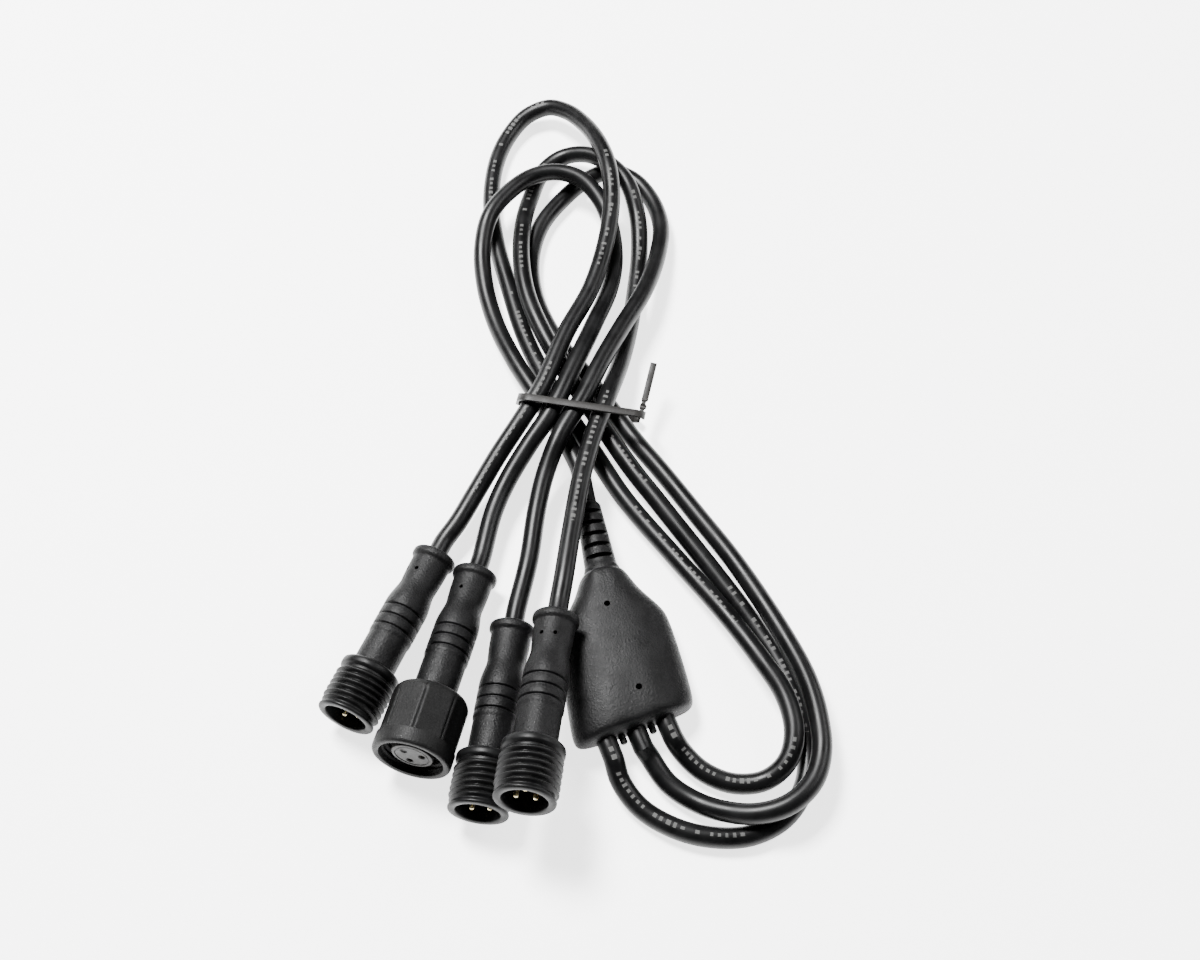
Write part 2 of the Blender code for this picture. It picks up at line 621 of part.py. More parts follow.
def build_tie(material):
    """Flat band round the bundle with one twisted tail."""
    left = Vector((*TIE_LEFT, 0))
    right = Vector((*TIE_RIGHT, 0))
    along = (right - left).normalized()
    across = Vector((-along.y, along.x, 0))
    shape = bmesh.new()
    loops = []
    for side in (-1, 1):
        for growth in (0.5, -0.5):
            ring = []
            for reach, height in tie_loop_points(growth * TIE_THICKNESS):
                place = left + along * reach + across * (side * TIE_WIDTH / 2)
                lean = TIE_LEAN * ((TIE_TOP + TIE_BOTTOM) / 2 - height)
                ring.append(shape.verts.new((place.x, place.y + lean, height)))
            loops.append(ring)
    outer_near, inner_near, outer_far, inner_far = loops
    pairs = [(outer_near, inner_near), (inner_near, inner_far), (inner_far, outer_far),
             (outer_far, outer_near)]
    for first, second in pairs:
        for index in range(len(first)):
            after = (index + 1) % len(first)
            shape.faces.new((first[index], first[after], second[after], second[index]))
    band = add_mesh("twist_tie", shape, material)
    rise = Vector(TIE_TAIL_RISE)
    tail = box_shape((1.5, 1.0, rise.length), (0, 0, rise.length / 2))
    turn = Vector((0, 0, 1)).rotation_difference(rise.normalized()).to_matrix()
    bmesh.ops.rotate(tail, cent=(0, 0, 0), matrix=turn, verts=tail.verts)
    foot = right - along * 0.2 + Vector((0, 0, (TIE_TOP + TIE_BOTTOM) / 2))
    bmesh.ops.translate(tail, vec=foot, verts=tail.verts)
    combine(band, add_cutter("tail_guide", tail), "UNION")


def build_all():
    clear_scene()
    jacket = finish_material("cable_jacket", (0.018, 0.018, 0.019), 0.32)
    moulding = finish_material("moulded_black", (0.022, 0.022, 0.023), 0.55)
    threads = finish_material("thread_black", (0.02, 0.02, 0.021), 0.42)
    insert_material = finish_material("insert_grey", (0.09, 0.085, 0.08), 0.6)
    inner = finish_material("inner_mould", (0.05, 0.05, 0.05), 0.6)
    seal = finish_material("seal_rubber", (0.03, 0.03, 0.03), 0.7)
    brass = finish_material("contact_brass", (0.75, 0.62, 0.32), 0.28, 1.0)
    crimp = finish_material("crimp_tin", (0.6, 0.6, 0.6), 0.35, 1.0)
    tie = finish_material("tie_plastic", (0.03, 0.028, 0.026), 0.6)

    build_splitter(moulding)
    build_splices(inner, crimp)
    for name in ("male_a", "male_b", "male_c"):
        build_male(name, moulding, threads, brass)
    build_female(moulding, insert_material, seal, brass)
    build_tie(tie)

    relief_end = Vector((0, SPLITTER_REAR, BODY_MID))
    build_cable("cable_inlet", relief_end, Vector((0, 1, 0)), INLET_ROUTE, "female", jacket)
    outlets = [("a", 1, OUTLET_A_ROUTE), ("b", 0, OUTLET_B_ROUTE), ("c", -1, OUTLET_C_ROUTE)]
    for letter, index, route in outlets:
        build_cable(f"cable_outlet_{letter}", exit_point(index), EXIT_NORMAL, route,
                    f"male_{letter}", jacket)


build_all()
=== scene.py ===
import json
import math

import bmesh
import bpy
from mathutils import Matrix, Vector


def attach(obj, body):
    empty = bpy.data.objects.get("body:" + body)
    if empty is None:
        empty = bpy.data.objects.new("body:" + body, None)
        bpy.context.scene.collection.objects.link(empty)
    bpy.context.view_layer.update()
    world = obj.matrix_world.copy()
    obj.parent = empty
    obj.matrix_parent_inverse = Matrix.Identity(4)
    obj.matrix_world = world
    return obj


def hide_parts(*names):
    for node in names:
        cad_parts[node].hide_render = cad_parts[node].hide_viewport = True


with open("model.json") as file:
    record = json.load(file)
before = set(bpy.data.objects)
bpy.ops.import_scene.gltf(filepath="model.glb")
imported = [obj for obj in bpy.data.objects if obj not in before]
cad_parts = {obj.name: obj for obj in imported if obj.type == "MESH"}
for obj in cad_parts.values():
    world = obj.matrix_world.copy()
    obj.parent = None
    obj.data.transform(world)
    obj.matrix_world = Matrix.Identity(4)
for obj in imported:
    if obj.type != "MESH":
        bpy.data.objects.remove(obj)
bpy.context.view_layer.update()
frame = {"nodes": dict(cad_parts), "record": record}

record = frame["record"]
mounts = {mount["name"]: mount for mount in record["mounts"]}
scene = bpy.context.scene
mm = 0.001

# The camera stands over the outlet end and looks down at the middle of the lead
cameraPlan = {
    "place": (-0.0243, -0.1126, 0.2598),
    "aim": (0.0043, 0.0346, 0.0),
    "lens": 42.0,
    "sensor": 36.0,
}


def setCamera(plan):
    data = bpy.data.cameras.new("studioCamera")
    data.lens = plan["lens"]
    data.sensor_width = plan["sensor"]
    data.clip_start = 0.01
    camera = bpy.data.objects.new("studioCamera", data)
    scene.collection.objects.link(camera)
    place = Vector(plan["place"])
    camera.location = place
    camera.rotation_euler = (Vector(plan["aim"]) - place).to_track_quat("-Z", "Y").to_euler()
    scene.camera = camera


setCamera(cameraPlan)
print("camera set")


# Finishes

class Wire:
    # wraps one socket, so sums and products of values add their Math nodes
    def __init__(self, tree, socket=None):
        self.tree = tree
        self.socket = socket

    def node(self, kind, settings=None, inputs=None, output=0):
        made = self.tree.nodes.new(kind)
        for name, value in (settings or {}).items():
            setattr(made, name, value)
        for name, value in (inputs or {}).items():
            if isinstance(value, Wire):
                self.tree.links.new(value.socket, made.inputs[name])
            else:
                made.inputs[name].default_value = value
        return Wire(self.tree, made.outputs[output])

    def maths(self, operation, first, second=0.0):
        return self.node("ShaderNodeMath", {"operation": operation}, {0: first, 1: second})

    def __add__(self, other):
        return self.maths("ADD", self, other)

    def __radd__(self, other):
        return self.maths("ADD", other, self)

    def __sub__(self, other):
        return self.maths("SUBTRACT", self, other)

    def __rsub__(self, other):
        return self.maths("SUBTRACT", other, self)

    def __mul__(self, other):
        return self.maths("MULTIPLY", self, other)

    def __rmul__(self, other):
        return self.maths("MULTIPLY", other, self)

    def __gt__(self, other):
        return self.maths("GREATER_THAN", self, other)

    def __lt__(self, other):
        return self.maths("LESS_THAN", self, other)

    def ramp(self, low, high, start=0.0, end=1.0):
        # a smooth rise from start to end as the value goes from low to high
        return self.node("ShaderNodeMapRange", {"interpolation_type": "SMOOTHSTEP"},
                         {0: self, 1: low, 2: high, 3: start, 4: end})

    def tint(self, dark, light):
        # mixes two colours, or wires of colour, by this value
        ends = [shade if isinstance(shade, Wire) else (*shade, 1.0) for shade in (dark, light)]
        return self.node("ShaderNodeMix", {"data_type": "RGBA"},
                         {0: self, 6: ends[0], 7: ends[1]}, output=2)

    def noise(self, place, scale, detail=2.0, rough=0.5):
        return self.node("ShaderNodeTexNoise", {},
                         {"Vector": place, "Scale": scale, "Detail": detail, "Roughness": rough})

    def stretched(self, place, amounts):
        return self.node("ShaderNodeVectorMath", {"operation": "MULTIPLY"},
                         {0: place, 1: amounts})

    def feed(self, socketName):
        self.tree.links.new(self.socket, self.tree.nodes["Principled BSDF"].inputs[socketName])

    def bump(self, strength, distance):
        self.node("ShaderNodeBump", {}, {"Strength": strength, "Distance": distance,
                                         "Height": self}).feed("Normal")


def startFinish(name, constants):
    material = bpy.data.materials.new(name)
    material.use_nodes = True
    shader = material.node_tree.nodes["Principled BSDF"]
    for socketName, value in constants.items():
        shader.inputs[socketName].default_value = value
    wire = Wire(material.node_tree)
    return material, wire, wire.node("ShaderNodeTexCoord", output=3)


def mouldedFinish(name, look):
    # moulded plastic or rubber: spark-eroded grain, soft mottling, a little dust, worn edges
    material, wire, place = startFinish(name, look.get("constants", {}))
    grain = wire.noise(place, look["grainScale"], 3.0, 0.6)
    mottle = wire.noise(place, look["mottleScale"], 4.0, 0.6)
    sparkle = grain.ramp(0.56, 0.68) * mottle.ramp(0.40, 0.58)
    shade = mottle.ramp(0.3, 0.75).tint(look["dark"], look["light"])
    dust = wire.noise(place, 9000.0, 1.0).ramp(0.70, 0.78) * 0.5
    shade = dust.tint(shade, look["dust"])
    if "worn" in look:
        crest = wire.node("ShaderNodeAttribute", {"attribute_name": "crest"}, output=2)
        shade = (crest * mottle.ramp(0.2, 0.7, 0.5, 1.0)).tint(shade, look["worn"])
    shade.feed("Base Color")
    low, high = look["roughness"]
    (mottle.ramp(0.3, 0.7, low, high) - sparkle * look["sparkle"]).feed("Roughness")
    (grain + mottle * 0.6).bump(look["bump"], look["bumpDepth"])
    return material


def metalFinish(name, look):
    # plated or tinned contact with turning marks and a little tarnish
    material, wire, place = startFinish(name, {"Metallic": 1.0})
    tarnish = wire.noise(place, 900.0, 4.0, 0.6)
    marks = wire.noise(place, 7000.0, 2.0)
    tarnish.ramp(0.35, 0.7).tint(look["bright"], look["dull"]).feed("Base Color")
    (tarnish.ramp(0.3, 0.7, *look["roughness"]) + marks * 0.08).feed("Roughness")
    marks.bump(0.2, 0.00002)
    return material


jacketLook = {
    "dark": (0.0016, 0.0016, 0.0017), "light": (0.0038, 0.0038, 0.004),
    "print": (0.075, 0.075, 0.073),
    "cell": 0.0014,          # pitch of the printed strokes along the jacket
    "group": 0.062,          # one run of strokes and the gap after it
    "run": 0.58,             # share of the group that is printed
    "tall": 0.00055,         # half height of the tallest stroke
    "roughness": (0.27, 0.38),
}


def jacketFinish(look):
    # extruded jacket: fine drawing lines, soft smears, faint runs of plain printed strokes
    material, wire, place = startFinish("cableJacket", {"Specular IOR Level": 0.17})
    along = wire.node("ShaderNodeAttribute", {"attribute_name": "cordPlace"}, output=1)
    parts = wire.node("ShaderNodeSeparateXYZ", {}, {0: along})
    length, around, printed = (Wire(wire.tree, parts.socket.node.outputs[index])
                               for index in range(3))
    lines = wire.noise(wire.stretched(along, (60.0, 6000.0, 0.0)), 1.0, 3.0, 0.6)
    smear = wire.noise(place, 160.0, 4.0, 0.6)
    cell = wire.maths("FLOOR", length * (1 / look["cell"]))
    share = wire.maths("FRACT", length * (1 / look["cell"]))
    chance = wire.node("ShaderNodeTexWhiteNoise", {"noise_dimensions": "1D"}, {"W": cell})
    height = wire.node("ShaderNodeTexWhiteNoise", {"noise_dimensions": "1D"},
                       {"W": cell + 37.5})
    run = wire.maths("FRACT", length * (1 / look["group"])) < look["run"]
    stroke = (share < (chance * 0.35 + 0.3)) * (chance > 0.22) * run
    reach = wire.maths("ABSOLUTE", around)
    band = reach < (height * (0.5 * look["tall"]) + 0.5 * look["tall"])
    ink = stroke * band * printed * smear.ramp(0.3, 0.5, 0.45, 0.85)
    shade = smear.ramp(0.3, 0.75).tint(look["dark"], look["light"])
    ink.tint(shade, look["print"]).feed("Base Color")
    (smear.ramp(0.3, 0.7, *look["roughness"]) + lines * 0.08 + ink * 0.25).feed("Roughness")
    (lines + smear * 0.5).bump(0.25, 0.00003)
    return material


mouldLook = {
    "constants": {"Specular IOR Level": 0.13},
    "dark": (0.0018, 0.0018, 0.0019), "light": (0.0048, 0.0048, 0.005),
    "dust": (0.05, 0.05, 0.049), "grainScale": 2600.0, "mottleScale": 220.0,
    "roughness": (0.38, 0.54), "sparkle": 0.30, "bump": 0.8, "bumpDepth": 0.00016,
}
threadLook = {
    "constants": {"Specular IOR Level": 0.13},
    "dark": (0.0018, 0.0018, 0.0019), "light": (0.0045, 0.0045, 0.0047),
    "dust": (0.04, 0.04, 0.039), "worn": (0.009, 0.009, 0.009),
    "grainScale": 5200.0, "mottleScale": 300.0,
    "roughness": (0.36, 0.50), "sparkle": 0.12, "bump": 0.25, "bumpDepth": 0.00003,
}
nutLook = {
    "constants": {"Specular IOR Level": 0.13},
    "dark": (0.0022, 0.0022, 0.0022), "light": (0.0055, 0.0055, 0.0055),
    "dust": (0.05, 0.05, 0.049), "worn": (0.010, 0.010, 0.010),
    "grainScale": 3000.0, "mottleScale": 260.0,
    "roughness": (0.42, 0.56), "sparkle": 0.22, "bump": 0.7, "bumpDepth": 0.00012,
}
insertLook = {
    "constants": {"Specular IOR Level": 0.3},
    "dark": (0.012, 0.0115, 0.011), "light": (0.030, 0.0285, 0.027),
    "dust": (0.12, 0.12, 0.115), "grainScale": 4200.0, "mottleScale": 600.0,
    "roughness": (0.5, 0.65), "sparkle": 0.05, "bump": 0.3, "bumpDepth": 0.00003,
}
innerLook = {
    "dark": (0.03, 0.03, 0.03), "light": (0.06, 0.06, 0.058),
    "dust": (0.1, 0.1, 0.1), "grainScale": 2600.0, "mottleScale": 200.0,
    "roughness": (0.5, 0.65), "sparkle": 0.05, "bump": 0.3, "bumpDepth": 0.00004,
}
rubberLook = {
    "dark": (0.02, 0.02, 0.02), "light": (0.035, 0.035, 0.035),
    "dust": (0.1, 0.1, 0.1), "grainScale": 3000.0, "mottleScale": 500.0,
    "roughness": (0.62, 0.75), "sparkle": 0.0, "bump": 0.3, "bumpDepth": 0.00003,
}
tieLook = {
    "constants": {"Specular IOR Level": 0.25},
    "dark": (0.0030, 0.0026, 0.0023), "light": (0.007, 0.006, 0.0052),
    "dust": (0.07, 0.065, 0.06), "grainScale": 2400.0, "mottleScale": 350.0,
    "roughness": (0.45, 0.6), "sparkle": 0.1, "bump": 0.4, "bumpDepth": 0.00005,
}
goldLook = {"bright": (0.86, 0.76, 0.50), "dull": (0.62, 0.52, 0.30), "roughness": (0.22, 0.38)}
tinLook = {"bright": (0.68, 0.68, 0.67), "dull": (0.48, 0.48, 0.47), "roughness": (0.3, 0.45)}

cableJacket = jacketFinish(jacketLook)
mouldedBlack = mouldedFinish("mouldedBlack", mouldLook)
threadBlack = mouldedFinish("threadBlack", threadLook)
nutBlack = mouldedFinish("nutBlack", nutLook)
insertGrey = mouldedFinish("insertGrey", insertLook)
innerMould = mouldedFinish("innerMould", innerLook)
sealRubber = mouldedFinish("sealRubber", rubberLook)
tiePlastic = mouldedFinish("tiePlastic", tieLook)
contactGold = metalFinish("contactGold", goldLook)
crimpTin = metalFinish("crimpTin", tinLook)
print("finishes made")


# Helpers for turned and cut shapes, in millimetres

def eased(share):
    # a share from 0 to 1, made slow at both ends
    return share * share * (3 - 2 * share)


def limited(value):
    return max(0.0, min(1.0, value))


def closeEnds(shape):
    openEdges = [edge for edge in shape.edges if len(edge.link_faces) == 1]
    bmesh.ops.holes_fill(shape, edges=openEdges, sides=0)


def movedOn(shape, face, places):
    # grows the shape from its end face to a new ring of places; returns the new end face
    raised = bmesh.ops.extrude_face_region(shape, geom=[face])["geom"]
    bmesh.ops.delete(shape, geom=[face], context="FACES_ONLY")
    newFace = next(part for part in raised if isinstance(part, bmesh.types.BMFace))
    for vertex, place in zip(newFace.verts, places):
        vertex.co = place
    return newFace


def turned(profile, sides, closed=False, soften=0.0, sharpest=15.0):
    # spins (radius, station) points about Z, then rounds the rings that turn sharply
    shape = bmesh.new()
    corners = [shape.verts.new((radius, 0, station)) for radius, station in profile]
    edges = [shape.edges.new(pair) for pair in zip(corners, corners[1:])]
    if closed:
        edges.append(shape.edges.new((corners[-1], corners[0])))
    bmesh.ops.spin(shape, geom=corners + edges, cent=(0, 0, 0), axis=(0, 0, 1),
                   angle=math.tau, steps=sides, use_merge=True)
    bmesh.ops.remove_doubles(shape, verts=shape.verts, dist=0.0005)
    bmesh.ops.recalc_face_normals(shape, faces=shape.faces)
    if soften:
        rings = [edge for edge in shape.edges
                 if abs(edge.verts[0].co.z - edge.verts[1].co.z) < 0.0001
                 and abs(edge.verts[0].co.xy.length - edge.verts[1].co.xy.length) < 0.001
                 and len(edge.link_faces) == 2
                 and edge.calc_face_angle() > math.radians(sharpest)]
        bmesh.ops.bevel(shape, geom=rings, offset=soften, offset_type="OFFSET", segments=2,
                        profile=0.5, affect="EDGES", material=-1, clamp_overlap=True)
    return shape


def rod(radius, start, end, centre=(0, 0), sides=24):
    shape = bmesh.new()
    bmesh.ops.create_cone(shape, cap_ends=True, segments=sides, radius1=radius,
                          radius2=radius, depth=end - start)
    bmesh.ops.translate(shape, vec=(centre[0], centre[1], (start + end) / 2),
                        verts=shape.verts)
    return shape


def block(size, centre, rounding=0.0):
    shape = bmesh.new()
    bmesh.ops.create_cube(shape, size=1.0)
    bmesh.ops.scale(shape, vec=size, verts=shape.verts)
    if rounding:
        bmesh.ops.bevel(shape, geom=shape.edges[:], offset=rounding, segments=3,
                        profile=0.5, affect="EDGES", material=-1)
    bmesh.ops.translate(shape, vec=centre, verts=shape.verts)
    return shape


def placed(shape, pose):
    bmesh.ops.transform(shape, matrix=pose, verts=shape.verts)
    return shape


def asObject(name, shape):
    mesh = bpy.data.meshes.new(name)
    shape.to_mesh(mesh)
    shape.free()
    thing = bpy.data.objects.new(name, mesh)
    scene.collection.objects.link(thing)
    return thing


def carved(shape, tools):
    # joins or cuts each (operation, shape) tool with the shape
    target = asObject("carving", shape)
    helpers = []
    for operation, tool in tools:
        bmesh.ops.recalc_face_normals(tool, faces=tool.faces)
        helper = asObject("tool", tool)
        helpers.append(helper)
        cut = target.modifiers.new("cut", "BOOLEAN")
        cut.operation = operation
        cut.solver = "EXACT"
        cut.object = helper
    ready = target.evaluated_get(bpy.context.evaluated_depsgraph_get())
    result = bmesh.new()
    result.from_mesh(ready.to_mesh())
    ready.to_mesh_clear()
    for thing in [target, *helpers]:
        data = thing.data
        bpy.data.objects.remove(thing)
        bpy.data.meshes.remove(data)
    return result


def addPiece(name, shape, material, stands, body="lead", sharpness=38.0):
    bmesh.ops.remove_doubles(shape, verts=shape.verts, dist=0.0000005)
    bmesh.ops.recalc_face_normals(shape, faces=shape.faces)
    piece = asObject(name, shape)
    piece.data.materials.append(material)
    piece.data.shade_smooth()
    piece.data.set_sharp_from_angle(angle=math.radians(sharpness))
    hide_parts(*stands)
    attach(piece, body)
    return piece


# Where each connector lies: its rear face, and its Z towards the mouth

connectorPlan = {
    "maleLength": 39.0,      # rear face to rim
    "rimReach": 4.825,       # the rim mount stands this far off the axis
    "nutMiddle": 35.6,       # rear face to the middle of the coupling nut
}


def poseFrom(rear, axis):
    along = Vector(axis).normalized()
    across = Vector((0, 0, 1)).cross(along).normalized()
    turn = Matrix((across, along.cross(across), along)).transposed().to_4x4()
    return Matrix.Translation(rear) @ turn @ Matrix.Scale(mm, 4)


def malePose(letter):
    mount = mounts[f"male_{letter}_rim"]
    along = Vector(mount["axis"]).normalized()
    across = Vector((0, 0, 1)).cross(along).normalized()
    middle = Vector(mount["pos_m"]) - across * connectorPlan["rimReach"] * mm
    return poseFrom(middle - along * connectorPlan["maleLength"] * mm, along)


def femalePose():
    joint = record["behaviour"]["joints"][0]
    along = Vector(joint["axis"]).normalized()
    return poseFrom(Vector(joint["pos_m"]) - along * connectorPlan["nutMiddle"] * mm, along)


poses = {f"male_{letter}": malePose(letter) for letter in "abc"}
poses["female"] = femalePose()

# Cables: the same guide points as the part's, in metres

cordPlan = {
    "diameter": 0.004,
    "pitch": 0.0012,
    "ringSteps": 8,
    "straight": 0.0035,      # each end runs straight this far from its face
    "gap": 0.0003,
    "tuck": 0.0012,          # how far each end is hidden in what it enters
    "curveSteps": 16,
    "lengths": {"inlet": 0.220, "outlet_a": 0.358, "outlet_b": 0.352, "outlet_c": 0.362},
    "printed": {"inlet": 0.0, "outlet_a": 1.0, "outlet_b": 0.0, "outlet_c": 1.0},
}
routes = {
    "inlet": [
        (0.0, 0.0353, 0.0049), (-0.0011, 0.0408, 0.0048), (-0.0027, 0.0468, 0.005), (-0.0057, 0.0552, 0.0052),
        (-0.009, 0.0658, 0.0045), (-0.0114, 0.0773, 0.0033),
        (-0.0122, 0.0883, 0.0036), (-0.0112, 0.0978, 0.0054),
        (-0.0082, 0.1053, 0.0074), (-0.0031, 0.1109, 0.0078),
        (0.0035, 0.115, 0.0077), (0.0095, 0.1153, 0.0077),
        (0.0148, 0.1123, 0.0074), (0.0182, 0.1062, 0.0063), (0.0193, 0.0992, 0.0051), (0.0184, 0.0896, 0.005),
        (0.0156, 0.0807, 0.0057), (0.0099, 0.0701, 0.0075),
        (0.0032, 0.0585, 0.0094), (-0.0037, 0.0478, 0.0093),
        (-0.01, 0.0412, 0.0074), (-0.0155, 0.0348, 0.0056), (-0.0195, 0.0284, 0.0047),
    ],
    "outlet_a": [
        (0.008, -0.029, 0.0033), (0.011, -0.033, 0.0023), (0.016, -0.0363, 0.0021), (0.022, -0.0372, 0.003),
        (0.0267, -0.035, 0.0048), (0.0293, -0.03, 0.0057),
        (0.0295, -0.0225, 0.0057), (0.027, -0.0145, 0.0055),
        (0.0222, -0.002, 0.0042), (0.0156, 0.012, 0.003), (0.0082, 0.0277, 0.0026), (0.004, 0.0397, 0.0029),
        (-0.0001, 0.0513, 0.00315), (-0.0033, 0.0622, 0.0028),
        (-0.0056, 0.0742, 0.0022), (-0.0068, 0.0882, 0.00205),
        (-0.0076, 0.103, 0.00205), (-0.0067, 0.115, 0.0021),
        (-0.0035, 0.1265, 0.0022), (0.0008, 0.134, 0.0025),
        (0.006, 0.1386, 0.0035), (0.0115, 0.1392, 0.0048), (0.0156, 0.1353, 0.0065), (0.0186, 0.1288, 0.0084),
        (0.0206, 0.1198, 0.0108), (0.0212, 0.1113, 0.0117),
        (0.0202, 0.1022, 0.0108), (0.0168, 0.0912, 0.0099),
        (0.0108, 0.0785, 0.0094), (0.0031, 0.0673, 0.0098),
        (-0.0046, 0.0542, 0.0097), (-0.0095, 0.0482, 0.0088),
        (-0.0162, 0.041, 0.0068), (-0.0217, 0.0344, 0.0053), (-0.0271, 0.0275, 0.0046),
    ],
    "outlet_b": [
        (0.0014, -0.0283, 0.0037), (0.004, -0.034, 0.0024),
        (0.0083, -0.0385, 0.0025), (0.013, -0.0418, 0.0041),
        (0.0186, -0.0439, 0.0059), (0.0246, -0.0436, 0.007),
        (0.03, -0.0403, 0.0069), (0.0333, -0.0348, 0.0064),
        (0.0346, -0.0278, 0.0061), (0.0345, -0.0203, 0.0061),
        (0.0326, -0.0108, 0.0058), (0.0274, 0.0074, 0.0041),
        (0.0224, 0.0199, 0.0035), (0.0171, 0.0325, 0.0032),
        (0.0134, 0.0405, 0.0032), (0.0096, 0.0501, 0.0032),
        (0.0054, 0.0611, 0.0028), (0.0009, 0.0724, 0.0021),
        (-0.0013, 0.0842, 0.00205), (-0.0003, 0.095, 0.00205),
        (0.0037, 0.1045, 0.00205), (0.0101, 0.1115, 0.00205),
        (0.0171, 0.1166, 0.00205), (0.023, 0.118, 0.0021),
        (0.028, 0.1144, 0.0021), (0.031, 0.1068, 0.0024), (0.0312, 0.0978, 0.0033), (0.0281, 0.0878, 0.0049),
        (0.0229, 0.0774, 0.0071), (0.0158, 0.0676, 0.0085),
        (0.0094, 0.0586, 0.0095), (0.0033, 0.0494, 0.0099),
        (-0.0028, 0.0418, 0.0092), (-0.0074, 0.0344, 0.0069),
        (-0.0107, 0.0265, 0.0055), (-0.014, 0.0163, 0.0048),
    ],
    "outlet_c": [
        (-0.0048, -0.0321, 0.0033), (-0.002, -0.0376, 0.0021),
        (0.0035, -0.0426, 0.0021), (0.01, -0.0456, 0.00205),
        (0.017, -0.0466, 0.00205), (0.024, -0.0446, 0.00205),
        (0.0293, -0.0393, 0.00205), (0.0317, -0.0322, 0.00205),
        (0.0321, -0.0237, 0.00205), (0.031, -0.0151, 0.00205),
        (0.028, -0.0056, 0.00215), (0.0245, 0.003, 0.0026),
        (0.0149, 0.0247, 0.0038), (0.0107, 0.0343, 0.0042),
        (0.0049, 0.0508, 0.0048), (0.0014, 0.0607, 0.0052),
        (-0.0017, 0.0712, 0.0062), (-0.0034, 0.082, 0.0065),
        (-0.003, 0.092, 0.0064), (-0.0008, 0.103, 0.0052),
        (0.0026, 0.1125, 0.0034), (0.0068, 0.1203, 0.0028), (0.012, 0.1233, 0.0036), (0.0175, 0.1216, 0.0055),
        (0.0222, 0.1166, 0.0068), (0.0255, 0.1099, 0.0065), (0.0263, 0.1014, 0.004), (0.0248, 0.0919, 0.0024),
        (0.0218, 0.0817, 0.00205), (0.0178, 0.0698, 0.0032),
        (0.0134, 0.0588, 0.006), (0.0087, 0.0494, 0.0086),
        (0.004, 0.0404, 0.0096), (-0.0007, 0.0295, 0.0106),
        (-0.005, 0.0172, 0.0115), (-0.0086, 0.0064, 0.0121),
    ],
}
exitPlan = {
    "middle": 0.00525,       # height of every cable exit
    "rear": 0.026,           # where the inlet cable leaves its relief
    "outletY": -0.0238,      # middle of the slanted outlet face
    "skew": math.radians(10.0),
    "exitSpacing": 0.006,
}


def smoothLine(guides, steps):
    # centripetal curve; the first and last guide only steer its two ends
    line = []
    for first, second, third, fourth in zip(guides, guides[1:], guides[2:], guides[3:]):
        t1 = math.sqrt((second - first).length)
        t2 = t1 + math.sqrt((third - second).length)
        t3 = t2 + math.sqrt((fourth - third).length)
        for step in range(steps):
            t = t1 + (t2 - t1) * step / steps
            a1 = first.lerp(second, t / t1)
            a2 = second.lerp(third, (t - t1) / (t2 - t1))
            a3 = third.lerp(fourth, (t - t2) / (t3 - t2))
            b1 = a1.lerp(a2, t / t2)
            b2 = a2.lerp(a3, (t - t1) / (t3 - t1))
            line.append(b1.lerp(b2, (t - t1) / (t2 - t1)))
    line.append(guides[-2])
    return line


def evenLine(line, pitch):
    total = sum((b - a).length for a, b in zip(line, line[1:]))
    count = round(total / pitch)
    spacing = total / count
    points = [line[0]]
    walked = 0.0
    for start, end in zip(line, line[1:]):
        length = (end - start).length
        while len(points) < count and walked + length >= spacing * len(points):
            points.append(start.lerp(end, (spacing * len(points) - walked) / length))
        walked += length
    points.append(line[-1])
    return points


def outletFace():
    # the directions along the slanted outlet face and out of it
    across = Vector((math.cos(exitPlan["skew"]), math.sin(exitPlan["skew"]), 0))
    return across, Vector((across.y, -across.x, 0))


def exitFor(cordName):
    # the point where a cable leaves the splitter, and its direction there
    if cordName == "inlet":
        return Vector((0, exitPlan["rear"], exitPlan["middle"])), Vector((0, 1, 0))
    across, outward = outletFace()
    index = {"outlet_a": 1, "outlet_b": 0, "outlet_c": -1}[cordName]
    middle = Vector((0, exitPlan["outletY"], exitPlan["middle"]))
    return middle + across * index * exitPlan["exitSpacing"], outward


def cordLine(cordName):
    start, leaving = exitFor(cordName)
    connector = "female" if cordName == "inlet" else f"male_{cordName[-1]}"
    rear = poses[connector].translation
    arriving = poses[connector].col[2].xyz.normalized()
    guides = [
        start + leaving * cordPlan["gap"],
        start + leaving * cordPlan["straight"],
        *[Vector(point) for point in routes[cordName]],
        rear - arriving * cordPlan["straight"],
        rear - arriving * cordPlan["gap"],
    ]
    middle = evenLine(smoothLine(guides, cordPlan["curveSteps"]), cordPlan["pitch"])
    ends = (start - leaving * cordPlan["tuck"], rear + arriving * cordPlan["tuck"])
    return [ends[0], guides[0], *middle, guides[-1], ends[1]]


def markCord(mesh, line, printed):
    # length along the cord and arc round it from its upper side, for the finish
    marks = mesh.attributes.new("cordPlace", "FLOAT_VECTOR", "POINT")
    sides = len(mesh.vertices) // len(line)
    walked = 0.0
    for index, middle in enumerate(line):
        walked += (middle - line[max(index - 1, 0)]).length
        along = (line[min(index + 1, len(line) - 1)] - line[max(index - 1, 0)]).normalized()
        upper = (Vector((0, 0, 1)) - along * along.z).normalized()
        beside = along.cross(upper)
        for vertex in mesh.vertices[index * sides:(index + 1) * sides]:
            offset = vertex.co - middle
            angle = math.atan2(offset.dot(beside), offset.dot(upper))
            arc = angle * cordPlan["diameter"] / 2
            marks.data[vertex.index].vector = (walked, arc, printed)


